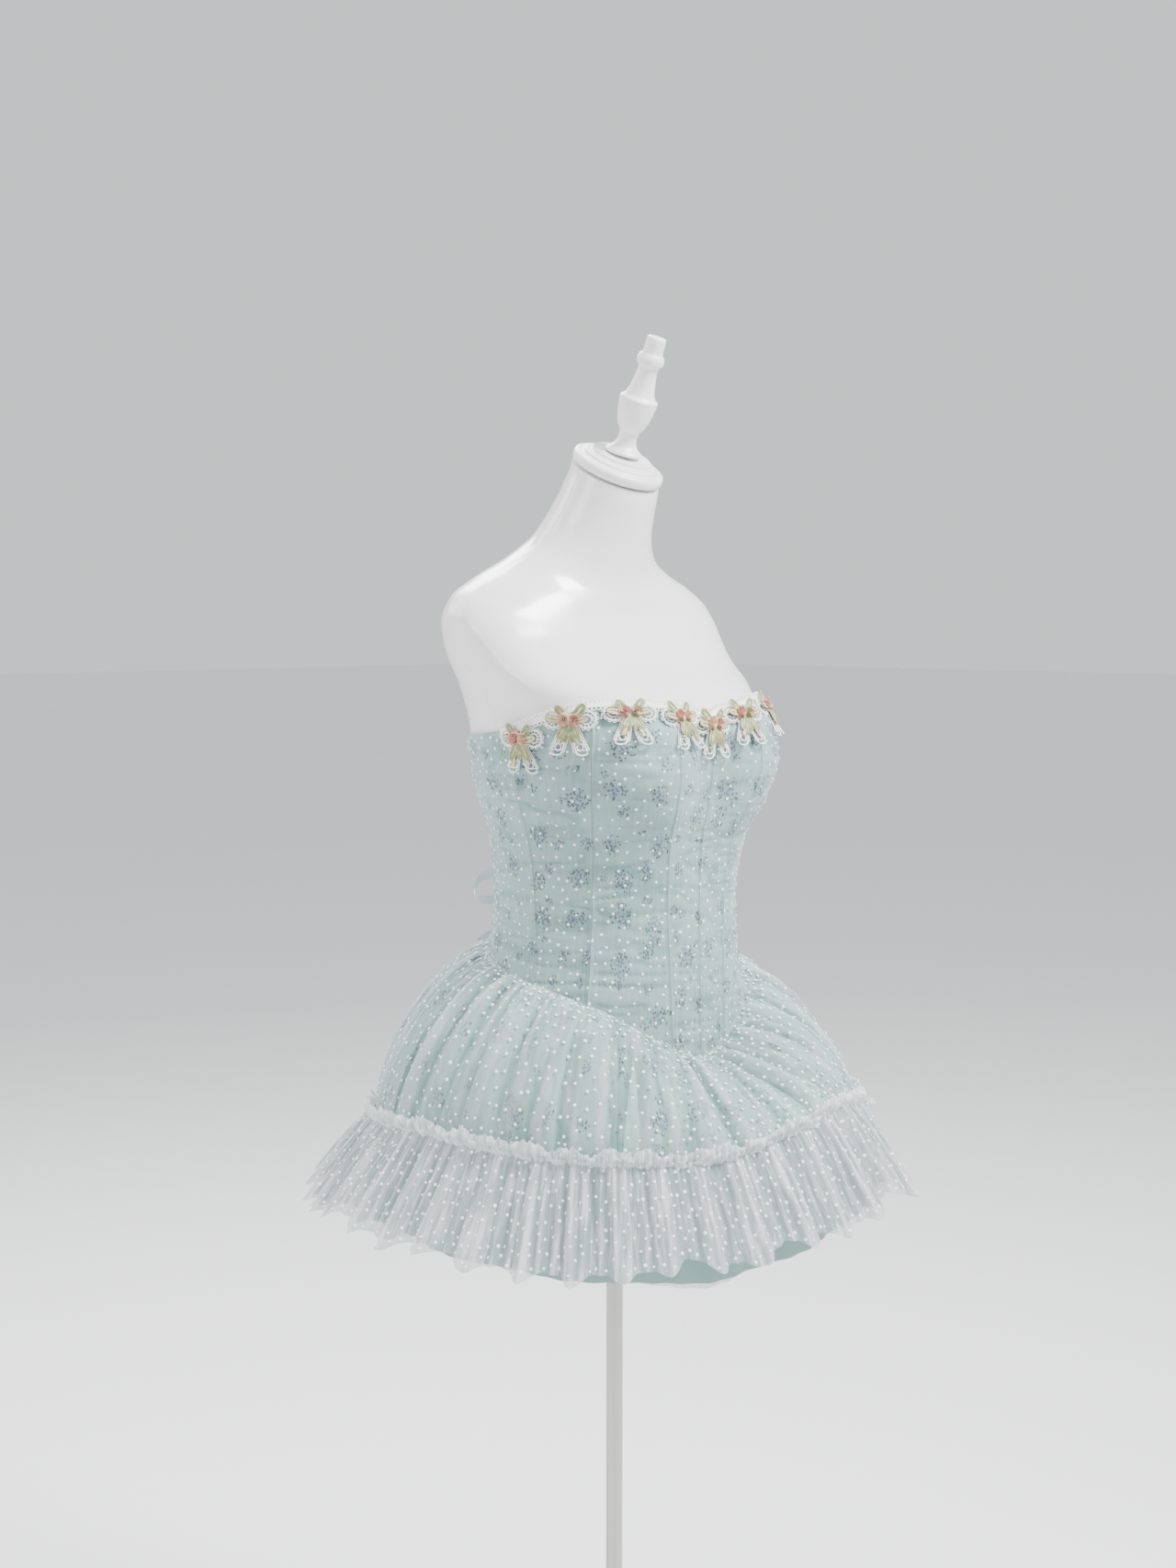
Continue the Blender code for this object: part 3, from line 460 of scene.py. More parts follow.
class Paint:
    """A material being made node by node; numbers, colours and sockets mix freely."""

    def __init__(self, name, roughness, metallic=0.0, **constants):
        self.material = bpy.data.materials.new(name)
        self.material.use_nodes = True
        self.tree = self.material.node_tree
        self.shader = self.tree.nodes["Principled BSDF"]
        self.set(Roughness=roughness, Metallic=metallic, **constants)

    def set(self, **inputs):
        for name, value in inputs.items():
            self.put(self.shader.inputs[name.replace("_", " ")], value)

    def put(self, socket, value):
        if isinstance(value, bpy.types.NodeSocket):
            self.tree.links.new(value, socket)
        elif isinstance(value, tuple) and socket.type == "RGBA":
            socket.default_value = (*value, 1)
        else:
            socket.default_value = value

    def node(self, kind, settings, *inputs):
        made = self.tree.nodes.new("ShaderNode" + kind)
        for name, value in settings.items():
            setattr(made, name, value)
        for socket, value in inputs:
            self.put(made.inputs[socket], value)
        return made

    def math(self, operation, *values):
        settings = {"operation": operation, "use_clamp": False}
        return self.node("Math", settings, *enumerate(values)).outputs[0]

    def times(self, *values):
        total = values[0]
        for value in values[1:]:
            total = self.math("MULTIPLY", total, value)
        return total

    def mix(self, share, a, b):
        made = self.node("Mix", {"data_type": "RGBA"}, (0, share), (6, a), (7, b))
        return made.outputs[2]

    def step(self, value, low, high, to_low=0.0, to_high=1.0):
        """A soft step from to_low to to_high as value goes from low to high."""
        inputs = ((0, value), (1, low), (2, high), (3, to_low), (4, to_high))
        return self.node("MapRange", {"interpolation_type": "SMOOTHSTEP"}, *inputs).outputs[0]

    def cloth(self, across=1.0, down=1.0):
        """Cloth coordinates, in units of these sizes."""
        place = self.node("UVMap", {"uv_map": "Cloth"}).outputs[0]
        scale = (1 / across, 1 / down, 1.0)
        settings = {"operation": "MULTIPLY"}
        return self.node("VectorMath", settings, (0, place), (1, scale)).outputs[0]

    def space(self, size):
        place = self.node("TexCoord", {}).outputs["Object"]
        inputs = ((0, place), ("Scale", 1 / size))
        return self.node("VectorMath", {"operation": "SCALE"}, *inputs).outputs[0]

    def noise(self, place, detail=2.0, roughness=0.5):
        inputs = (("Vector", place), ("Scale", 1.0), ("Detail", detail), ("Roughness", roughness))
        return self.node("TexNoise", {}, *inputs).outputs[0]

    def cells(self, place, randomness=1.0):
        """Distance to the nearest of scattered centres, and that centre's own three numbers."""
        inputs = (("Vector", place), ("Scale", 1.0), ("Randomness", randomness))
        made = self.node("TexVoronoi", {"voronoi_dimensions": "2D"}, *inputs)
        split = self.node("SeparateColor", {}, (0, made.outputs["Color"]))
        return made.outputs["Distance"], split.outputs

    def fold(self):
        # The fold level, read for painted shade in valleys and painted highlight on crests
        return self.node("Attribute", {"attribute_name": "Fold"}).outputs["Fac"]

    def bump(self, height, strength, distance):
        inputs = (("Height", height), ("Strength", strength), ("Distance", distance))
        self.set(Normal=self.node("Bump", {}, *inputs).outputs[0])
        return self.material


MINT_PALE = (0.245, 0.375, 0.368)
# Painted shade: the deeper mint laid into the valleys and creases of the folds
MINT_PAINTED_SHADE = (0.070, 0.205, 0.172)
SLATE = (0.030, 0.048, 0.062)
LEAF = (0.040, 0.075, 0.055)
VIOLET = (0.090, 0.115, 0.265)
TULLE_WHITE = (0.510, 0.600, 0.605)


def sprig_layer(paint, base, cell, reach, shift, strength):
    """Scattered round clusters of small flecks, bluish at their hearts, over a base colour."""
    place = paint.cloth(cell, cell)
    moved = paint.node("VectorMath", {}, (0, place), (1, shift)).outputs[0]
    distance, own = paint.cells(moved, 0.62)
    size = paint.step(own[0], 0.0, 1.0, 0.62 * reach / cell, 1.15 * reach / cell)
    near = paint.math("DIVIDE", distance, size)
    ragged = paint.noise(paint.cloth(0.0042, 0.0042), 2.0)
    near = paint.math("ADD", near, paint.times(paint.math("SUBTRACT", ragged, 0.5), 0.9))
    fleck, fleck_own = paint.cells(paint.cloth(0.0024, 0.0031), 1.0)
    inside = paint.step(near, 1.02, 0.80)
    present = paint.step(fleck_own[2], paint.math("SUBTRACT", near, 0.35), near)
    cover = paint.times(paint.step(fleck, 0.50, 0.36), present, inside, strength)
    heart = paint.times(paint.step(near, 0.60, 0.10), 0.62)
    dark = paint.mix(fleck_own[0], SLATE, LEAF)
    colour = paint.mix(heart, dark, VIOLET)
    haze = paint.times(paint.step(near, 1.05, 0.30), 0.12, strength)
    return paint.mix(cover, paint.mix(haze, base, VIOLET), colour)


def printed_paint(name, valley):
    """Pale mint print under white net: sprigs, a soft haze, and painted shade of deeper mint in
    the valleys of its folds.
    """
    paint = Paint(name, 0.82, Sheen_Weight=0.25, Sheen_Roughness=0.5)
    paint.set(Sheen_Tint=(0.95, 1.0, 1.0))
    drift = paint.noise(paint.cloth(0.07, 0.05), 2.0)
    base = paint.mix(paint.step(drift, 0.35, 0.68), MINT_PALE, (0.225, 0.335, 0.350))
    # Painted shade: deeper mint where the Fold level is low, down the valleys and creases; valley
    # sets its strength
    low = paint.step(paint.fold(), 0.62, 0.05, 0.0, valley)
    base = paint.mix(low, base, MINT_PAINTED_SHADE)
    base = sprig_layer(paint, base, 0.043, 0.0125, (0.0, 0.0, 0.0), 1.0)
    base = sprig_layer(paint, base, 0.037, 0.0070, (3.4, 7.7, 0.0), 0.95)
    net = paint.noise(paint.cloth(0.0009, 0.0009), 1.0)
    streak = paint.noise(paint.cloth(0.0035, 0.030), 2.0)
    haze = paint.times(paint.step(streak, 0.42, 0.78), 0.22)
    base = paint.mix(haze, base, TULLE_WHITE)
    base = paint.mix(paint.times(paint.step(net, 0.45, 0.70), 0.10), base, (0.85, 0.90, 0.90))
    paint.set(Base_Color=base)
    return paint.bump(net, 0.25, 0.0004)


def tulle_paint(name, tint, thin, thick, pleat, crest=(0.66, 0.675, 0.70)):
    """White net: see-through where it lies open, more opaque along its pleats, and lighter and
    more opaque up the crests of its folds, partly from the net's real density and partly as
    painted highlight, with painted shade in the troughs.
    """
    paint = Paint(name, 0.85, Sheen_Weight=0.4, Sheen_Roughness=0.45)
    streak = paint.noise(paint.cloth(pleat, 0.060), 3.0, 0.6)
    patch = paint.noise(paint.cloth(0.045, 0.045), 2.0)
    net = paint.noise(paint.cloth(0.0009, 0.0009), 1.0)
    pleated = paint.times(paint.step(streak, 0.40, 0.66), 0.7)
    density_and_crest_light = paint.math("ADD", pleated, paint.times(patch, 0.3))
    # Painted highlight and shade: the Fold level, high on fold crests, makes the net lighter and
    # more opaque there, partly as its real density
    density_and_crest_light = paint.math("ADD", paint.times(density_and_crest_light, 0.6), paint.times(paint.fold(), 0.5))
    paint.set(Base_Color=paint.mix(paint.step(density_and_crest_light, 0.1, 1.0), tint, crest))
    paint.set(Alpha=paint.step(density_and_crest_light, 0.0, 1.1, thin, thick))
    return paint.bump(net, 0.2, 0.0004)


def cotton_paint(name, colour, light):
    """Corded cotton or flocking: matt, a little uneven, with a fine twisted grain."""
    paint = Paint(name, 0.9, Sheen_Weight=0.3, Sheen_Roughness=0.5)
    grain = paint.noise(paint.space(0.0009), 3.0, 0.6)
    patch = paint.noise(paint.space(0.012), 2.0)
    worn = paint.mix(paint.step(patch, 0.35, 0.7), colour, light)
    paint.set(Base_Color=worn)
    return paint.bump(grain, 0.5, 0.0004)


def satin_paint(name, colour, shade):
    """Satin ribbon: soft gloss, with soft random patches of a second tone."""
    paint = Paint(name, 0.42, Sheen_Weight=0.3, Sheen_Roughness=0.35, Specular_IOR_Level=0.45)
    grain = paint.noise(paint.space(0.0006), 1.0)
    patch = paint.noise(paint.space(0.0045), 2.0)
    paint.set(Base_Color=paint.mix(paint.step(patch, 0.35, 0.65), colour, shade))
    return paint.bump(grain, 0.25, 0.0003)


def lining_paint():
    paint = Paint("mint_cloth", 0.7, Sheen_Weight=0.2, Sheen_Roughness=0.4)
    weave = paint.noise(paint.cloth(0.0007, 0.0007), 1.0)
    drift = paint.noise(paint.cloth(0.05, 0.08), 2.0)
    paint.set(Base_Color=paint.mix(drift, (0.24, 0.42, 0.38), (0.31, 0.48, 0.445)))
    return paint.bump(weave, 0.3, 0.0003)


def gloss_white_paint():
    """The form's moulded shell: smooth white gloss with the faintest unevenness."""
    paint = Paint("gloss_white_shell", 0.24, Coat_Weight=0.35, Coat_Roughness=0.12)
    swell = paint.noise(paint.space(0.09), 2.0)
    smudge = paint.noise(paint.space(0.03), 4.0, 0.6)
    paint.set(Base_Color=paint.mix(swell, (0.835, 0.815, 0.815), (0.855, 0.845, 0.850)))
    paint.set(Roughness=paint.step(smudge, 0.3, 0.75, 0.20, 0.32))
    return paint.bump(swell, 0.12, 0.002)


def painted_wood_paint():
    """White painted wood with a faint turned grain."""
    paint = Paint("white_painted_wood", 0.36, Coat_Weight=0.15, Coat_Roughness=0.25)
    grain = paint.noise(paint.space(0.004), 3.0, 0.6)
    paint.set(Base_Color=paint.mix(grain, (0.80, 0.785, 0.78), (0.86, 0.85, 0.845)))
    return paint.bump(grain, 0.15, 0.0006)


def steel_paint():
    """Polished steel with fine lengthwise brushing."""
    paint = Paint("polished_steel", 0.2, 1.0)
    place = paint.node("TexCoord", {}).outputs["Object"]
    inputs = ((0, place), (1, (900.0, 900.0, 9.0)))
    scaled = paint.node("VectorMath", {"operation": "MULTIPLY"}, *inputs)
    brushed = paint.noise(scaled.outputs[0], 2.0)
    paint.set(Base_Color=paint.mix(brushed, (0.33, 0.32, 0.31), (0.47, 0.46, 0.445)))
    paint.set(Roughness=paint.step(brushed, 0.3, 0.7, 0.14, 0.28))
    return paint.bump(brushed, 0.05, 0.0002)


GLOSS_WHITE = gloss_white_paint()
PAINTED_WOOD = painted_wood_paint()
STEEL = steel_paint()
# The skirt's print with full painted shade in its valleys, the bodice's with a fainter painted
# shade in its creases
PRINT = printed_paint("printed_cloth", 1.0)
BODICE_PRINT = printed_paint("printed_bodice_cloth", 0.45)
# Each net goes from its tint in the troughs to its crest colour on its fold crests: partly real
# density, partly painted highlight and shade
VEIL = tulle_paint("veil_net", (0.38, 0.52, 0.52), 0.02, 0.44, 0.016, (0.62, 0.67, 0.69))
RUFFLE_NET = tulle_paint("ruffle_net", (0.27, 0.35, 0.365), 0.55, 0.96, 0.009, (0.62, 0.625, 0.65))
UNDER_NET = tulle_paint("under_net", (0.62, 0.72, 0.72), 0.35, 0.75, 0.006)
FRILL_NET = tulle_paint("frill_net", (0.66, 0.72, 0.73), 0.40, 0.95, 0.0022, (0.86, 0.88, 0.88))
MINT = lining_paint()
FLOCK = cotton_paint("white_flock", (0.93, 0.95, 0.95), (0.97, 0.98, 0.98))
LACE = cotton_paint("white_guipure", (0.92, 0.915, 0.88), (0.97, 0.965, 0.94))
TAPE = satin_paint("white_ribbon", (0.90, 0.90, 0.88), (0.82, 0.83, 0.82))
CREAM = satin_paint("cream_ribbon", (0.62, 0.56, 0.36), (0.46, 0.41, 0.23))
OLIVE = satin_paint("olive_ribbon", (0.17, 0.155, 0.06), (0.10, 0.11, 0.04))
SAGE = satin_paint("sage_ribbon", (0.27, 0.31, 0.15), (0.17, 0.20, 0.08))
PINK = satin_paint("pink_ribbon", (0.70, 0.33, 0.29), (0.76, 0.46, 0.40))
PEACH = satin_paint("peach_ribbon", (0.80, 0.62, 0.44), (0.74, 0.50, 0.34))


CORNER_CUT = 0.22


def cut_corners(values):
    """A profile's values with each corner cut off, part of the way along both its sides."""
    near = (1 - CORNER_CUT) * values[:-1] + CORNER_CUT * values[1:]
    far = CORNER_CUT * values[:-1] + (1 - CORNER_CUT) * values[1:]
    return np.concatenate([values[:1], np.stack([near, far], 1).ravel(), values[-1:]])


def capped_faces(rows, columns):
    """Faces of a closed tube of points with a flat cap on each end."""
    faces = grid_faces(rows, columns, closed=True)
    faces.append(list(range(columns)))
    faces.append([(rows - 1) * columns + k for k in range(columns)][::-1])
    return faces


def turned(name, profile, sides, material, place, replaces):
    """A turned solid with softly rounded corners, closed at both ends."""
    radii = np.array([turn.radius for turn in profile])
    heights = np.array([turn.height for turn in profile])
    for _ in range(2):
        radii, heights = cut_corners(radii), cut_corners(heights)
    turns = 2 * pi * np.arange(sides) / sides
    across, high = radii[::-1, None], heights[::-1, None]
    points = stacked(across * np.cos(turns), across * np.sin(turns), high)
    made = mesh_object(name, points, capped_faces(len(radii), sides), material)
    made.data.transform(place)
    made.data.set_sharp_from_angle(angle=radians(50))
    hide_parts(*replaces)


BASE = [Turn(*row) for row in (
    (0.1460, 0.0), (0.1500, 0.0015), (0.1500, 0.0055), (0.1480, 0.0080), (0.0270, 0.0105),
    (0.0215, 0.0150), (0.0210, 0.0500), (0.0190, 0.0530), (0.0095, 0.0530),
)]


def make_stand():
    turned("base_plate", BASE, 128, STEEL, Matrix.Identity(4), ["stand_base"])
    low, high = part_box("stand_pole")
    pole = (Turn(high.x, low.z), Turn(high.x, high.z))
    turned("steel_pole", pole, 48, STEEL, Matrix.Identity(4), ["stand_pole"])


PARTING_ANGLE = radians(97)
PARTING_WIDTH = radians(0.45)
PARTING_HEIGHT = 0.0005
SHELL_INSET = 0.0010


def make_form():
    """The form's gloss shell, with the mould's faint parting line down each side."""
    even = np.linspace(-pi, pi, 193)[:-1]
    near_line = np.linspace(-3, 3, 13) * PARTING_WIDTH
    right_line, left_line = near_line - PARTING_ANGLE, near_line + PARTING_ANGLE
    angles = np.unique(np.concatenate([even, right_line, left_line]))
    heights = np.linspace(FORM[-1].height, FORM[0].height, 150)
    angle, height = np.meshgrid(angles, heights)
    line = np.exp(-0.5 * ((np.abs(angle) - PARTING_ANGLE) / PARTING_WIDTH) ** 2)
    points = on_form(angle, height, PARTING_HEIGHT * line - SHELL_INSET)
    made = mesh_object("form_shell", points, capped_faces(*angle.shape), GLOSS_WHITE)
    made.data.set_sharp_from_angle(angle=radians(60))
    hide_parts("form_torso")


def make_neck_cap():
    top = FORM[-1]
    tilt = Matrix.Rotation(radians(top.tilt), 4, "X")
    seat = Vector((0, top.set_back, top.height))
    up = tilt @ Vector((0, 0, 1))
    place = Matrix.Translation(seat + up * GAP) @ tilt
    turned("neck_cap", NECK_CAP, 96, PAINTED_WOOD, place, ["form_neck_cap"])
    lean = radians(top.tilt - FINIAL_TILT)
    height = 2 * GAP + NECK_CAP[-1].height + FINIAL[0].radius * np.sin(lean)
    place = Matrix.Translation(seat + up * height) @ Matrix.Rotation(radians(FINIAL_TILT), 4, "X")
    turned("turned_finial", FINIAL, 72, PAINTED_WOOD, place, ["form_finial"])


def seam_angle(number, share):
    """Where a bodice seam runs: share is 0 at the neckline and 1 at the waist seam."""
    seam = SEAMS[number]
    return np.radians(seam.top + (seam.foot - seam.top) * share)


BONING_WIDTH = 0.0056
RIDGE_WIDTH = 0.0009
SEAM_LINE_HEIGHT = 0.0015
BONING_LINE_HEIGHT = 0.0011


def boning(from_seam, share):
    """Two narrow raised lines beside each seam, where the boning channel is stitched."""
    seam_line = np.exp(-0.5 * (from_seam / RIDGE_WIDTH) ** 2)
    boning_line = np.exp(-0.5 * ((from_seam - BONING_WIDTH) / RIDGE_WIDTH) ** 2)
    fading = 0.6 + 0.4 * np.cos(6 * share)
    return SEAM_LINE_HEIGHT * seam_line + BONING_LINE_HEIGHT * boning_line * fading


BROAD_SWELL = 0.0009
CREASE_DEPTH = 0.0024
FINE_RIPPLE = 0.00035


def puckers(angle, height):
    """Fine level creases where the net is drawn up between the bones, uneven all over."""
    broad = body_noise(angle, height, 0.060, 0.020, 11)
    drawn = body_noise(angle, height + 0.004 * broad, 0.050, 0.0085, 12)
    fine = body_noise(angle, height, 0.028, 0.0048, 13)
    crease = (1 - np.abs(drawn)) ** 4
    patch = 0.55 + 0.45 * np.clip(body_noise(angle, height, 0.05, 0.035, 14) + 0.4, 0, 1)
    return BROAD_SWELL * broad - CREASE_DEPTH * crease * patch + FINE_RIPPLE * fine


PANEL_COLUMN_WIDTH = 0.0018
PANEL_ROWS = 140
WAIST_RADIUS = 0.13


def bodice_shell(number, side):
    """One bodice panel between two seams, on the side of the body that side has the sign of."""
    wide = np.radians(SEAMS[number + 1].top - SEAMS[number].top) * 0.15
    columns = max(18, round(wide / PANEL_COLUMN_WIDTH))
    across, share = body_grid(0, 1, columns, np.linspace(0, 1, PANEL_ROWS))
    first, last = seam_angle(number, share), seam_angle(number + 1, share)
    size = first + (last - first) * across
    size = size + 0.5 * GAP / WAIST_RADIUS * (1 - 2 * across)
    height = neckline(size) + (waist_seam(size) - neckline(size)) * share
    if side < 0:
        size, height = -size[:, ::-1], height[:, ::-1]
        first, last = -last[:, ::-1], -first[:, ::-1]
    radius = form_radius(size, height)
    ridge = boning((size - first) * radius, share) + boning((last - size) * radius, share)
    near_seam = np.clip(np.minimum(size - first, last - size) * radius / 0.006, 0.25, 1)
    out = ridge + puckers(size, height) * near_seam
    points = on_bodice(size, height, out)
    # Fold level: low in the puckers' creases, where the bodice print paints shade, and high on the
    # seam ridges
    fold = np.clip(0.62 + 300 * puckers(size, height) + 120 * ridge, 0, 1)
    return Shell(points, size * PRINT_RADIUS, height), fold


def make_bodice():
    for number, panel in enumerate(PANEL_NAMES):
        for side, side_name in ((-1, "right"), (1, "left")):
            shell, fold = bodice_shell(number, side)
            name = f"{panel}_{side_name}"
            cloth_object(
                f"panel_{name}", shell, BODICE_PRINT,
                [f"bodice_{name}"], fold,
            )
            seed = 100 + 10 * number + side
            scatter_dots(f"dots_{name}", shell, *BODICE_DOTS, seed, FLOCK)


# Large valleys in the skirt, in degrees: placed at the front, invented elsewhere
Valley = namedtuple("Valley", "top foot width depth")
VALLEYS = [Valley(*row) for row in (
    (-119, -122, 2.4, 0.7), (-88, -90, 1.8, 0.6), (-62, -66, 1.6, 0.7), (-38, -42, 2.2, 1.0),
    (-22, -29, 1.4, 0.5), (3, 2, 2.6, 1.0), (13, 15, 2.0, 1.0), (28, 31, 2.2, 0.8),
    (58, 60, 2.0, 0.7), (101, 104, 2.4, 0.8), (139, 136, 2.0, 0.7), (163, 165, 2.2, 0.8),
    (-171, -168, 2.0, 0.6), (-146, -150, 2.2, 0.8),
)]


def placed_folds(angle, down):
    """The skirt's few deep valleys, 1 at the middle of each."""
    total = np.zeros_like(angle)
    for valley in VALLEYS:
        middle = np.radians(valley.top + (valley.foot - valley.top) * down)
        width = radians(valley.width) * (0.5 + 0.8 * down)
        away = turned_to(angle - middle) / width
        total = total + valley.depth * np.exp(-0.5 * away**2) * np.clip(down / 0.12, 0, 1)
    return np.clip(total, 0, 1)


def crests(angle, count, shift, sway):
    """Uneven gathers round the body: 1 on their crests and 0 between them."""
    return 0.5 + 0.5 * np.cos(uneven(angle, count, shift) + sway)


VALLEY_DEPTH = 0.013
SECOND_GATHER = 0.0030
FINE_GATHER = 0.0012


def gathers(angle, down):
    """Depth of the skirt's gathers, and how high each point lies in its fold, 0 to 1."""
    sway = 0.9 * body_noise(angle, down, 0.05, 0.7, 21)
    main = crests(angle, SKIRT_GATHERS, 0.0, 0.4 * sway * down)
    second = crests(angle, 67, 0.7, 2.2 * sway)
    fine = crests(angle, 151, 1.9, 2.0 * sway)
    deep = GATHER_AT_ENDS + 1.35 * (GATHER_AT_MIDDLE - GATHER_AT_ENDS) * np.sin(pi * down)
    patch = 0.5 + 0.5 * body_noise(angle, down, 0.035, 0.45, 22)
    big = placed_folds(angle, down)
    depth = deep * main**0.7
    depth = depth + SECOND_GATHER * second * patch * (0.35 + 0.65 * np.sin(pi * down) ** 0.7)
    depth = depth + FINE_GATHER * fine * (1 - down) ** 1.2
    depth = depth - VALLEY_DEPTH * big * np.sin(pi * down) ** 0.6
    # The level becomes the Fold values: the print paints shade where it is low, in the valleys and
    # the big placed folds
    level = 0.55 * main**0.7 + 0.33 * second * (0.4 + 0.6 * patch) + 0.12 * fine
    return depth, level * (1 - big)


FOLDS_START = 0.05
TUCK_END = 0.012
TUCK_RISE = 0.0035


def off_dome(angle, down, lift, inward):
    """The skirt's form moved out by its folds, its top edge slipped in under the bodice's."""
    lift = lift * eased(down / FOLDS_START)
    points = dome(angle, down) + dome_normal(angle, down) * lift[..., None]
    share = np.clip(1 - down / TUCK_END, 0, 1)
    return points + round_body(-inward, angle, TUCK_RISE + 0 * angle) * share[..., None]


def skirt_point(angle, down):
    depth, level = gathers(angle, down)
    return off_dome(angle, down, depth, 0.0030), level


def veil_point(angle, down):
    """The dotted net over the print, gathered on its own and lying a little proud of it."""
    depth = gathers(angle, down)[0]
    own = crests(angle, 46, 4.1, 1.8 * body_noise(angle, down, 0.04, 0.5, 31))
    puff = 0.5 + 0.5 * body_noise(angle, down, 0.06, 0.35, 32)
    lift = 0.0012 + (0.0030 * own + 0.0020 * puff) * (0.25 + 0.75 * np.sin(pi * down))
    lift = np.maximum(depth * 0.5 + 0.0030 * np.sin(pi * down) + lift, depth + 0.0009)
    # own, the crest level of the net's own gathers, becomes its Fold values: painted lighter and
    # more opaque on the crests
    return off_dome(angle, down, lift, 0.0024), own


def part_of_turn(first, degrees, columns, downs):
    """Grid of angles and downs over part of the way round, half a gap short at both ends."""
    gap = 0.5 * GAP / HEADING_RADIUS
    return body_grid(radians(first) + gap, radians(first + degrees) - gap, columns, downs)


def hung_sheet(name, point, grid, scale, material, replaces=()):
    """A gathered sheet over a grid of angles and downs, by the function that places its points."""
    points, level = point(*grid)
    shell = Shell(points, grid[0] * scale[0], -grid[1] * scale[1])
    cloth_object(name, shell, material, replaces, level)
    return shell


def make_skirt():
    downs = np.linspace(0, 1, 58) ** 1.05
    for name, first in QUARTERS:
        grid = part_of_turn(first, 90, 270, downs)
        hung_sheet(
            f"gathered_{name}", skirt_point, grid, (0.25, 0.17), PRINT,
            [f"skirt_{name}"],
        )
        grid = part_of_turn(first, 90, 190, downs[::2])
        veil = hung_sheet(f"veil_{name}", veil_point, grid, (0.27, 0.17), VEIL)
        scatter_dots(f"veil_dots_{name}", veil, *VEIL_DOTS, 200 + first, FLOCK, 0.01, 0.02)


def under_point(angle, down, under, hem_radius, column):
    """Lining or net: under the skirt to the heading, then on down to its own hem."""
    inner = dome(angle, down) - dome_normal(angle, np.clip(down, 0, 1)) * under
    top = dome(angle, np.ones_like(down)) - dome_normal(angle, np.ones_like(down)) * under
    fall = np.clip(down - 1, 0, 1)
    wave = 0.004 * fall * np.cos(uneven(angle, 13, 1.0))
    ripple = 0.0012 * fall * np.cos(uneven(angle, 57, 2.2))
    radius = HEADING_RADIUS - under
    radius = radius + (hem_radius - radius) * fall + wave + ripple
    height = top[..., 2] + (hem(column, angle) - top[..., 2]) * fall
    fallen = round_body(radius, angle, height)
    return np.where((down <= 1)[..., None], inner, fallen)


def make_under_layers():
    downs = np.concatenate([np.linspace(0, 1, 16), np.linspace(1, 2, 14)[1:]])
    layers = (
        ("lining", LAYER_STEP, LINING_HEM_RADIUS, "lining_hem", MINT, "mint_lining"),
        ("petticoat", 2 * LAYER_STEP, NET_HEM_RADIUS, "net_hem", UNDER_NET, "dotted_tulle"),
    )
    for layer, under, radius, column, material, slot in layers:
        for name, first in HALVES:
            angle, down = part_of_turn(first, 180, 220, downs)
            points = under_point(angle, down, under, radius, column)
            shell = Shell(points, angle * 0.25, -down * 0.12)
            cloth_object(
                f"{layer}_cloth_{name}", shell, material,
                [f"{layer}_{name}"], np.full(angle.shape, 0.5),
            )


FLAP_SAG = 0.0070
JAG_DEPTH = 0.0090
NICK_DEPTH = 0.0015


def ruffle_point(angle, down, inward=0.0, shift=0.0):
    """The ruffle from its stitching at 0 to its hem at 1, pleated and jagged at the hem."""
    low = hem("heading", angle)
    reach = hem("ruffle_reach", angle)
    start = HEADING_RADIUS + RUFFLE_START - inward
    sway = body_noise(angle, down, 0.03, 0.9, 41)
    phase = uneven(angle, RUFFLE_WAVES, 2.0 + shift) + 0.8 * sway * down
    stray = 0.9 * body_noise(angle, down, 0.05, 3.0, 45)
    wave = 0.5 + 0.5 * np.cos(phase + 0.6 * np.sin(phase) + stray)
    pleat = np.cos(uneven(angle, 133, 0.4 + shift) + 2.4 * sway)
    fine = np.cos(uneven(angle, 297, 1.3 + shift) + 2.0 * sway)
    patch = 0.55 + 0.45 * body_noise(angle, down, 0.03, 1.5, 42)
    depth = RUFFLE_WAVE_TOP + (RUFFLE_WAVE_HEM - RUFFLE_WAVE_TOP) * down
    radius = start + (reach - inward - start) * down + depth * (wave**0.8 - 0.5 * down)
    radius = radius + pleat * patch * (0.0012 + 0.0024 * down) + fine * 0.0007 * (1 - 0.6 * down)
    jag = body_noise(angle, 0 * angle, 0.021, 1.0, 43)
    nick = body_noise(angle, 0 * angle, 0.006, 1.0, 44)
    sag = FLAP_SAG * (wave - 0.5) + JAG_DEPTH * jag + NICK_DEPTH * nick
    height = low + (hem("ruffle_hem", angle) - low - sag + 0.6 * inward) * down
    height = height + 0.0025 * np.sin(pi * down) * pleat * patch
    # level, high on the waves' crests, becomes the Fold values: painted lighter and more opaque on
    # the crests, darker in the troughs
    level = np.clip(0.20 + 0.55 * wave + 0.3 * pleat * patch, 0, 1)
    return round_body(radius, angle, height), level


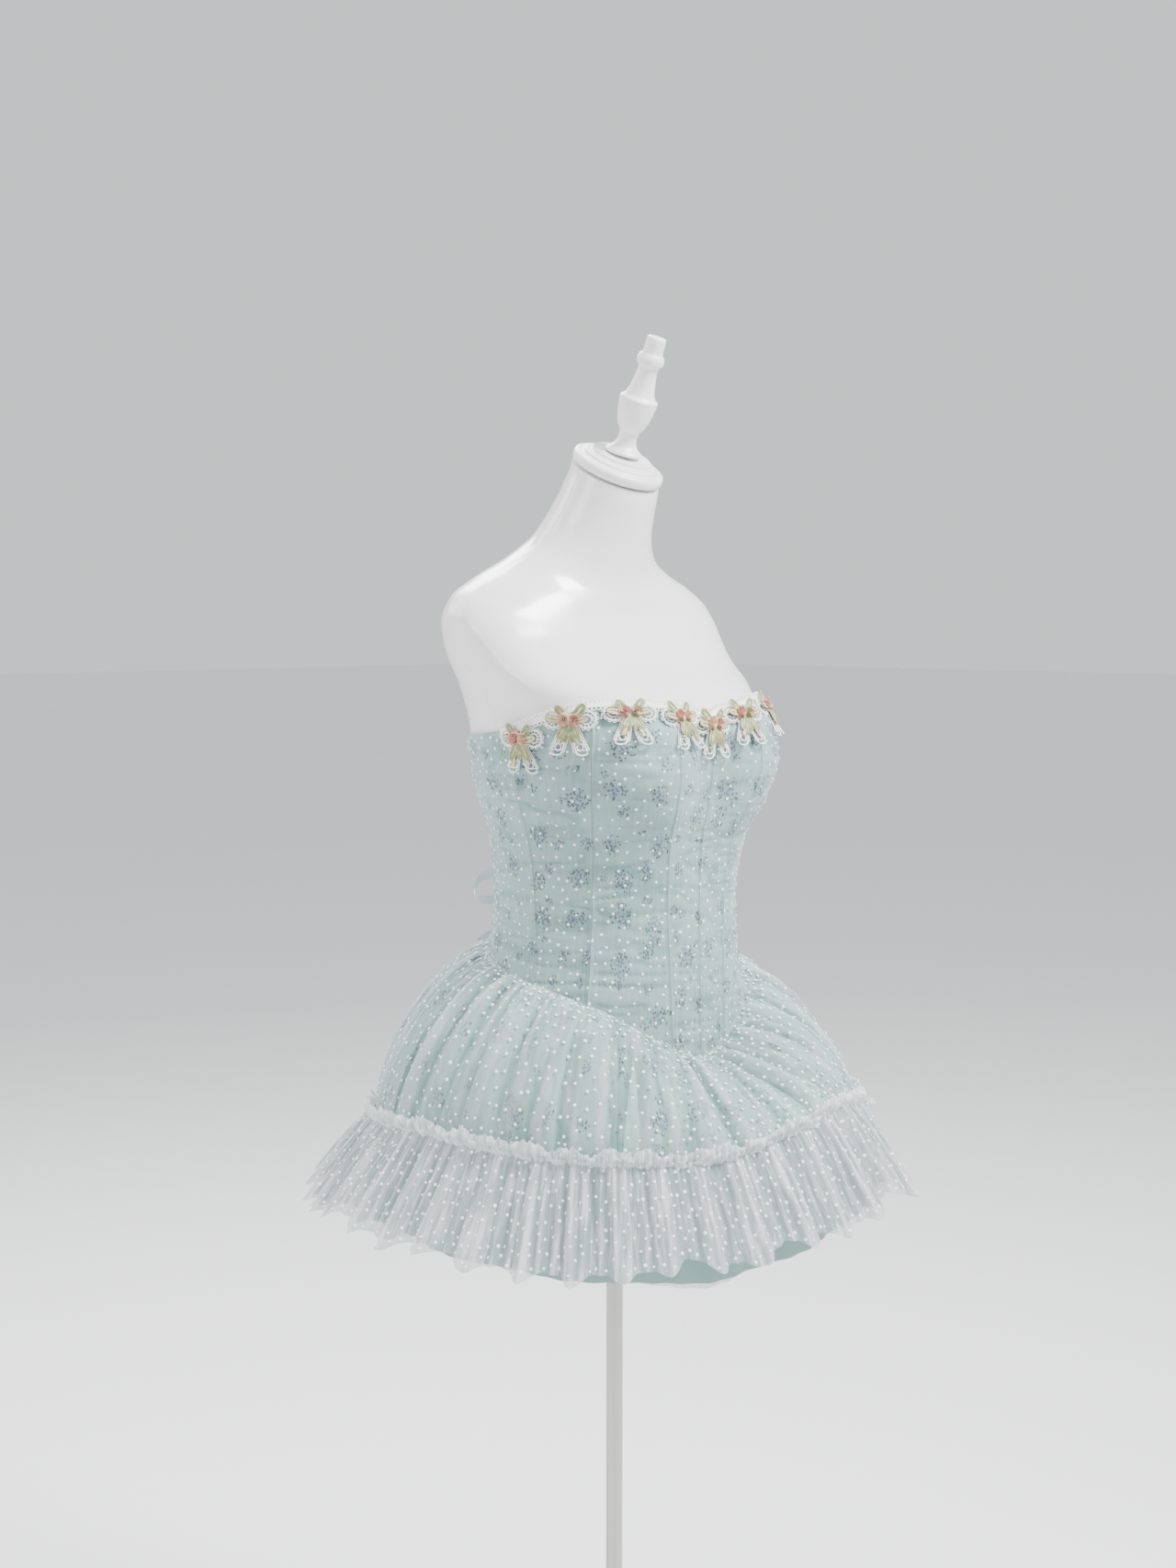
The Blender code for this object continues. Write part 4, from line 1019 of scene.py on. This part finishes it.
def frill_point(angle, down):
    """The drawn-up band that stands over the stitching: crumpled all along."""
    low = hem("heading", angle)
    crush = body_noise(angle, down, 0.0045, 0.30, 51, HEADING_RADIUS)
    lump = body_noise(angle, down, 0.011, 0.60, 52, HEADING_RADIUS)
    pinch = np.cos(uneven(angle, 241, 0.9))
    arch = np.sin(pi * np.clip(down, 0, 1))
    radius = HEADING_RADIUS + RUFFLE_START + 0.0018 + 0.0042 * arch + FRILL_REACH * (1 - down)
    fuzz = body_noise(angle, down, 0.0019, 0.22, 53, HEADING_RADIUS)
    radius = radius + 0.0034 * crush + 0.0034 * lump + 0.0011 * pinch + 0.0016 * fuzz
    top = FRILL_HEIGHT + 0.0055 * lump + 0.0045 * crush + 0.0022 * fuzz
    height = low + top * (1 - down) - 0.0045 * down
    # Its Fold value rises where the crumples bulge out: painted lighter and more opaque there
    return round_body(radius, angle, height), np.clip(0.5 + 0.5 * crush, 0, 1)


def inner_ruffle_point(angle, down):
    """The ruffle's second layer, 8 mm inside the first and pleated out of step with it."""
    return ruffle_point(angle, down, 0.008, 2.6)


RUFFLE_CLOTH = (0.55, 0.115)


def make_ruffle():
    for name, first in QUARTERS:
        net, inner = f"ruffle_net_{name}", f"ruffle_under_{name}"
        grid = part_of_turn(first, 90, 560, np.linspace(0, 1, 30))
        shell = hung_sheet(
            net, ruffle_point, grid, RUFFLE_CLOTH, RUFFLE_NET, [f"ruffle_{name}"],
        )
        scatter_dots(f"ruffle_dots_{name}", shell, *RUFFLE_DOTS, 300 + first, FLOCK, 0.04, 0.0)
        grid = [values[::2, ::2] for values in grid]
        hung_sheet(inner, inner_ruffle_point, grid, RUFFLE_CLOTH, RUFFLE_NET)
        grid = part_of_turn(first, 90, 520, np.linspace(0, 1, 12))
        hung_sheet(f"frill_{name}", frill_point, grid, (0.5, 0.016), FRILL_NET)


def make_edging():
    """Picot edging along the neckline: a narrow tape with a row of small thread loops."""
    angle, down = body_grid(-EDGING_END, EDGING_END, 500, np.linspace(0, 1, 5))
    height = neckline(angle) + 0.0022 - 0.0058 * down
    out = EDGING_CLEAR + 0.0006 + 0.0003 * np.cos(angle * 400)
    points = on_bodice(angle, height, out)
    tape = mesh_object("edging_tape", points, grid_faces(*angle.shape), LACE)
    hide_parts("neckline_lace")
    loops = Joined()
    count = 118
    width = 2 * EDGING_END / count
    turns = np.linspace(0, pi, 9)
    for k in range(count):
        middle = -EDGING_END + (k + 0.5) * width
        for rise, foot in ((0.0030, 0.0020), (-0.0030, -0.0034)):
            at = middle + 0.46 * width * np.cos(turns)
            path_height = neckline(at) + foot + rise * np.sin(turns)
            loops.tube(on_bodice(at, path_height, EDGING_CLEAR + 0.0012), 0.00050, 5)
    loops.make("edging_picots", LACE, "white_lace")


def bow_place(number):
    """place(x, y, out) on the bent sheet that the solid bow of this number lies in."""
    angle = radians(BOW_ANGLES[number - 1])
    middle = neckline(angle) - BOW_DROP
    seat = on_bodice(angle, middle, 0.0)
    half = BOW_HALF_WIDTH / form_radius(angle, middle)
    across = unit(on_bodice(angle + half, middle, 0.0) - on_bodice(angle - half, middle, 0.0))
    above = on_bodice(angle, middle + BOW_SEAT_ABOVE, 0.0)
    rise = above - on_bodice(angle, middle - BOW_SEAT_BELOW, 0.0)
    normal = unit(np.cross(across, rise))
    up = np.cross(normal, across)
    solid = np.array([v.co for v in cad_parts[f"lace_bow_{number}"].data.vertices]) - seat
    lift = (solid @ normal + (solid @ across) ** 2 / (2 * BOW_BEND)).max()

    def place(x, y, out):
        x, y, out = np.broadcast_arrays(*(np.asarray(v, float) for v in (x, y, out)))
        depth = lift - TRIM_WALL + out - x**2 / (2 * BOW_BEND)
        return seat + across * x[..., None] + up * y[..., None] + normal * depth[..., None]

    return place, normal


def spun(x, y, px, py, turn):
    """Where (px, py) comes when it is turned and set down at (x, y)."""
    return x + px * np.cos(turn) - py * np.sin(turn), y + px * np.sin(turn) + py * np.cos(turn)


def oval(x, y, wide, tall, count, turn=0.0):
    t = 2 * pi * np.arange(count) / count
    return spun(x, y, wide * np.cos(t), tall * np.sin(t), turn)


LACE_LIFT = 0.0010
BAR_LIFT = 0.0009


def lace_loop(lace, place, normal, side):
    """One ringed loop of the lace bow: two rings, bars between them and picots round it."""
    x, y, wide, tall = 0.0165 * side, 0.0015, 0.0088, 0.0078
    turn = 0.35 * side
    outer = oval(x, y, wide, tall, 30, turn)
    inner = oval(x, y, 0.56 * wide, 0.54 * tall, 22, turn)
    lace.tube(place(*outer, LACE_LIFT), 0.00095, 5, True, normal)
    lace.tube(place(*inner, LACE_LIFT), 0.00085, 5, True, normal)
    for k in range(12):
        t = 2 * pi * k / 12
        reach = np.array([0.60, 0.94])
        px, py = reach * wide * np.cos(t), reach * tall * np.sin(t)
        lace.tube(place(*spun(x, y, px, py, turn), BAR_LIFT), 0.00055, 4, False, normal)
    for k in range(13):
        t = 2 * pi * (k + 0.5) / 13
        px, py = 1.13 * wide * np.cos(t), 1.13 * tall * np.sin(t)
        picot = oval(*spun(x, y, px, py, turn), 0.0014, 0.0014, 9)
        lace.tube(place(*picot, LACE_LIFT), 0.00048, 4, True, normal)


def lace_tail(lace, place, normal, side):
    """One scalloped tail: two edges, rings down its middle and picots along both edges."""
    t = np.linspace(0, 1, 14)
    mid_x = side * (0.0022 + 0.0105 * t**0.9)
    mid_y = -0.0045 - 0.0250 * t
    half = 0.0028 + 0.0026 * t
    for edge in (-1, 1):
        x = mid_x + edge * half
        y = mid_y + edge * side * 0.0010 * t
        lace.tube(place(x, y, LACE_LIFT), 0.00080, 5, False, normal)
        for k in range(1, 13):
            picot = oval(x[k] + edge * 0.0013, y[k], 0.0012, 0.0012, 8)
            lace.tube(place(*picot, LACE_LIFT), 0.00045, 4, True, normal)
    for k in (1, 4, 7, 10):
        size = 0.62 * half[k]
        ring = oval(mid_x[k] * 0.5 + mid_x[k + 1] * 0.5, mid_y[k] - 0.001, size, size * 1.15, 12)
        lace.tube(place(*ring, LACE_LIFT), 0.00070, 4, True, normal)
        bar = np.array([-1, 1]) * half[k + 2]
        lace.tube(place(mid_x[k + 2] + bar, mid_y[k + 2], BAR_LIFT), 0.00055, 4, False, normal)
    end = np.linspace(0, pi, 9)
    x = mid_x[-1] + half[-1] * np.cos(end)
    y = mid_y[-1] - 0.0030 * np.sin(end)
    lace.tube(place(x, y, LACE_LIFT), 0.00085, 5, False, normal)


def ribbon(strips, edges, place, path, width, lift):
    """A strip of ribbon along points (x, y) of a bow, with a corded edge on each side."""
    path = np.asarray(path, float)
    steps = np.linspace(0, len(path) - 1, 18)
    x = np.interp(steps, np.arange(len(path)), path[:, 0])
    y = np.interp(steps, np.arange(len(path)), path[:, 1])
    for _ in range(2):
        x[1:-1] = (x[:-2] + 2 * x[1:-1] + x[2:]) / 4
        y[1:-1] = (y[:-2] + 2 * y[1:-1] + y[2:]) / 4
    along = unit(np.stack([np.gradient(x), np.gradient(y)], -1))
    out = np.broadcast_to(lift, x.shape) + 0.0012 * np.sin(pi * np.linspace(0, 1, len(x)))
    across = np.array([-1.0, -0.5, 0.0, 0.5, 1.0])
    px = x[:, None] - along[:, 1:] * across * width / 2
    py = y[:, None] + along[:, :1] * across * width / 2
    crown = out[:, None] + 0.0005 * (1 - across**2)
    strips.add(place(px, py, crown), grid_faces(len(x), 5))
    for k in (0, -1):
        edges.tube(place(px[:, k], py[:, k], out + 0.0001), 0.00030, 5)


def rose(petals, place, x, y, size, seed):
    """A ribbon rose: a strip wound in a tight spiral heart, with loose petals round it."""
    rng = np.random.default_rng(seed)
    t = np.linspace(0, 1, 70)
    across = np.linspace(0, 1, 5)
    turn = 2 * pi * 3.1 * t + rng.uniform(0, 6)
    wobble = 1 + 0.10 * np.sin(3.0 * turn * 0.37 + seed)
    radius = size * (0.10 + 0.62 * t**0.85) * wobble
    lean = 0.10 * size + 0.30 * size * t
    r = radius[:, None] + lean[:, None] * (across - 0.5)
    depth = 0.0012 + size * (0.16 + 0.84 * (1 - 0.45 * t[:, None]) * across)
    px, py = x + r * np.cos(turn)[:, None], y + r * np.sin(turn)[:, None]
    petals.add(place(px, py, depth), grid_faces(len(t), len(across)))
    for k in range(5):
        middle = 2 * pi * (k + rng.uniform(-0.15, 0.15)) / 5
        spread = np.linspace(-0.75, 0.75, 9)
        out = np.linspace(0, 1, 6)[:, None]
        angle = middle + spread
        r = size * (0.35 + 0.72 * out * np.cos(spread * 1.25) ** 0.35)
        depth = 0.0010 + size * (0.10 + 0.55 * out - 0.42 * out**3) + 0.0 * spread
        points = place(x + r * np.cos(angle), y + r * np.sin(angle), depth)
        petals.add(points, grid_faces(6, 9))


LEAF_LOOPS = (
    (
        (0.003, 0.004), (0.0075, 0.0110), (0.0120, 0.0150),
        (0.0150, 0.0130), (0.0110, 0.0070), (0.004, 0.002),
    ),
    (
        (0.003, -0.003), (0.008, -0.009), (0.0115, -0.0165),
        (0.0085, -0.0175), (0.004, -0.0105), (0.001, -0.004),
    ),
    (
        (0.006, 0.000), (0.0135, 0.0030), (0.0205, 0.0035),
        (0.0205, 0.0010), (0.0130, -0.0010), (0.006, -0.002),
    ),
)
TAIL_PATHS = (
    ((0.003, -0.004), (0.0065, -0.0110), (0.0075, -0.0180), (0.0105, -0.0240)),
    ((0.001, -0.004), (0.0015, -0.0120), (0.0040, -0.0200)),
)
ROSE_COLOURS = ((PINK, CREAM), (PINK, PEACH), (PEACH, PINK))


def make_bows():
    for number in range(1, len(BOW_ANGLES) + 1):
        place, normal = bow_place(number)
        rng = np.random.default_rng(number)
        lace = Joined()
        for side in (-1, 1):
            lace_loop(lace, place, normal, side)
            lace_tail(lace, place, normal, side)
        knot = oval(0.0, 0.0, 0.0034, 0.0042, 14)
        lace.tube(place(*knot, 0.0012), 0.0010, 5, True, normal)
        lace.make(f"guipure_bow_{number}", LACE, "white_lace", [f"lace_bow_{number}"])

        strips, edges, leaves, leaf_edges = Joined(), Joined(), Joined(), Joined()
        for side in (-1, 1):
            for k, loop in enumerate(LEAF_LOOPS):
                jitter = rng.uniform(0.85, 1.12)
                path = [(side * x * jitter, y * jitter) for x, y in loop]
                target = (leaves, leaf_edges) if k != 2 else (strips, edges)
                ribbon(*target, place, path, 0.0034, 0.0024 + 0.0006 * k)
            for k, tail in enumerate(TAIL_PATHS):
                jitter = rng.uniform(0.85, 1.1)
                path = [(side * x, y * jitter) for x, y in tail]
                target = (strips, edges) if k == 0 else (leaves, leaf_edges)
                ribbon(*target, place, path, 0.0042, 0.0026)
        strips.make(f"ribbon_bow_{number}", CREAM, "ribbon", [f"rose_bow_{number}"])
        edges.make(f"ribbon_edge_{number}", OLIVE, "ribbon")
        leaves.make(f"leaf_loops_{number}", SAGE, "ribbon")
        leaf_edges.make(f"leaf_edges_{number}", CREAM, "ribbon")
        first, second = Joined(), Joined()
        rose(first, place, -0.0054, 0.0012, 0.0072, 7 * number)
        rose(second, place, 0.0056, 0.0006, 0.0068, 7 * number + 3)
        colours = ROSE_COLOURS[number % len(ROSE_COLOURS)]
        first.make(f"rose_right_{number}", colours[0], "ribbon")
        second.make(f"rose_left_{number}", colours[1], "ribbon")


LACING_BOTTOM = 1.075
LACING_TOP = 1.240
LACING_CROSSINGS = 7
LACING_REACH = 0.014
BACK_BOW_HEIGHT = 1.098
TAIL_LIFT = 0.013


def lacing_height(crossing):
    return LACING_BOTTOM + (LACING_TOP - LACING_BOTTOM) * crossing / LACING_CROSSINGS


def on_back(x, height, out):
    return on_bodice(pi + x / form_radius(pi, height), height, out)


def make_lacing():
    """Two ribbons that cross down the back opening, through worked eyelets."""
    for number, first_side in ((1, -1), (2, 1)):
        strip = Joined()
        t = np.linspace(0, LACING_CROSSINGS, 12 * LACING_CROSSINGS + 1)
        sweep = np.arccos(np.cos(pi * t)) / pi
        x = first_side * LACING_REACH * (2 * sweep - 1)
        height = lacing_height(t)
        lift = 0.0024 + 0.0012 * np.cos(pi * (t + number)) * (1 - (x / LACING_REACH) ** 2)
        across = np.linspace(-1, 1, 5)
        rows = [on_back(x, height + a * 0.0024, lift + 0.0004 * (1 - a * a)) for a in across]
        strip.add(np.stack(rows, 1), grid_faces(len(t), 5))
        strip.make(f"lacing_ribbon_{number}", TAPE, "white_lace", [f"lacing_{number}"])
    eyelets = Joined()
    for side in (-1, 1):
        for k in range(LACING_CROSSINGS + 1):
            x, y = oval(side * LACING_REACH, lacing_height(k), 0.0026, 0.0026, 14)
            eyelets.tube(on_back(x, y, 0.0008), 0.0007, 5, True)
    eyelets.make("lacing_eyelets", FLOCK, "white_lace")


BOW_LOOP = (
    (0.0, 0.0), (0.022, 0.010), (0.052, 0.0165), (0.080, 0.0145), (0.094, 0.006),
    (0.088, -0.005), (0.060, -0.0105), (0.028, -0.008), (0.0, 0.0),
)
BOW_TAIL = ((0.0, -0.004), (0.009, -0.022), (0.018, -0.040), (0.025, -0.068), (0.032, -0.096))


def on_back_bow(x, y, out):
    """The sheet of the back bow: over the lacing, then over the skirt below the waist seam."""
    height = BACK_BOW_HEIGHT + y
    angle = pi + x / form_radius(pi, BACK_BOW_HEIGHT)
    seam = waist_seam(angle)
    down = (seam - height) / (seam - hem("heading", angle))
    outward = dome_normal(angle, np.clip(down, 0.001, 1))
    low = dome(angle, down) + outward * (TAIL_LIFT + out)[..., None]
    lift = 0.012 * (x / 0.097) ** 2
    high = on_bodice(angle, height, 0.0055 + lift + out)
    return np.where((height < seam)[..., None], low, high)


def curve(points, count):
    """A smooth path through these points."""
    points = np.asarray(points, float)
    s = np.linspace(0, len(points) - 1, count)
    k = np.clip(s.astype(int), 0, len(points) - 2)
    t = (s - k)[:, None]
    p0, p1 = points[np.maximum(k - 1, 0)], points[k]
    p2, p3 = points[k + 1], points[np.minimum(k + 2, len(points) - 1)]
    return 0.5 * (
        2 * p1 + (p2 - p0) * t + (2 * p0 - 5 * p1 + 4 * p2 - p3) * t**2
        + (3 * p1 - p0 - 3 * p2 + p3) * t**3
    )


def make_back_bow():
    strip = Joined()
    across = np.linspace(-1, 1, 6)
    for side in (-1, 1):
        for path, width in ((BOW_LOOP, 0.0085), (BOW_TAIL, 0.0075)):
            at = curve(path, 44)
            along = unit(np.gradient(at, axis=0))
            x = side * (at[:, 0][:, None] - along[:, 1:] * across * width / 2)
            y = at[:, 1][:, None] + along[:, :1] * across * width / 2
            share = np.linspace(0, 1, len(at))[:, None]
            twist = 0.0022 * np.sin(2.5 * pi * share) * across
            out = 0.0010 + 0.0030 * np.sin(pi * share) + twist + 0.0 * x
            strip.add(on_back_bow(x, y, out), grid_faces(len(at), len(across)))
    turns = np.linspace(0, 2 * pi, 17)[:-1]
    knot_x, knot_y = 0.0065 * np.cos(turns), 0.0068 * np.sin(turns) - 0.001
    knot = on_back_bow(knot_x, knot_y, np.full(len(turns), 0.0022))
    strip.tube(knot, 0.0030, 8, True)
    strip.make("back_ribbon_bow", TAPE, "white_lace", ["back_bow"])


FLOOR_REACH = 40.0


def make_floor():
    mesh = bpy.data.meshes.new("floor")
    r = FLOOR_REACH
    mesh.from_pydata([(-r, -r, 0), (r, -r, 0), (r, r, 0), (-r, r, 0)], [], [(0, 1, 2, 3)])
    paint = Paint("pale_floor", 0.9)
    drift = paint.noise(paint.space(0.8), 2.0)
    paint.set(Base_Color=paint.mix(drift, (0.885, 0.895, 0.90), (0.905, 0.915, 0.92)))
    mesh.materials.append(paint.material)
    floor = placed("floor", mesh)


Lamp = namedtuple("Lamp", "azimuth elevation distance size power colour")
LAMPS = (
    Lamp(18, 50, 2.6, 0.8, 190, (1.0, 0.995, 0.985)),
    Lamp(-95, 20, 3.0, 1.2, 44, (1.0, 0.965, 0.95)),
    Lamp(150, 45, 2.8, 1.4, 110, (1.0, 1.0, 1.0)),
    Lamp(-150, 35, 3.0, 1.6, 60, (1.0, 0.985, 0.975)),
)


def make_lights():
    aim = Vector((0, 0, 1.1))
    for number, lamp in enumerate(LAMPS):
        data = bpy.data.lights.new(f"soft_lamp_{number}", "AREA")
        data.energy, data.size, data.color = lamp.power, lamp.size, lamp.colour
        a, e = radians(lamp.azimuth), radians(lamp.elevation)
        way = Vector((np.sin(a) * np.cos(e), -np.cos(a) * np.cos(e), np.sin(e)))
        light = placed(f"soft_lamp_{number}", data)
        light.location = aim + way * lamp.distance
        light.rotation_euler = (-way).to_track_quat("-Z", "Y").to_euler()
    world = bpy.data.worlds.new("soft_room")
    world.use_nodes = True
    background = world.node_tree.nodes["Background"]
    background.inputs["Color"].default_value = (0.93, 0.955, 0.97, 1)
    background.inputs["Strength"].default_value = 0.95
    bpy.context.scene.world = world


def make_camera():
    data = bpy.data.cameras.new("camera")
    data.sensor_width, data.lens = SENSOR, LENS
    data.clip_start, data.clip_end = 0.05, 200
    a = CAMERA_AZIMUTH
    back = Vector((np.sin(a), -np.cos(a), 0))
    right = Vector((np.cos(a), np.sin(a), 0))
    camera = placed("camera", data)
    camera.location = back * CAMERA_DISTANCE - right * CAMERA_SIDE + Vector((0, 0, CAMERA_HEIGHT))
    look = -back * np.cos(CAMERA_PITCH) - Vector((0, 0, np.sin(CAMERA_PITCH)))
    camera.rotation_euler = look.to_track_quat("-Z", "Y").to_euler()
    bpy.context.scene.camera = camera


make_camera()
make_lights()
make_floor()
make_stand()
make_form()
make_neck_cap()
make_bodice()
make_skirt()
make_under_layers()
make_ruffle()
make_edging()
make_bows()
make_lacing()
make_back_bow()
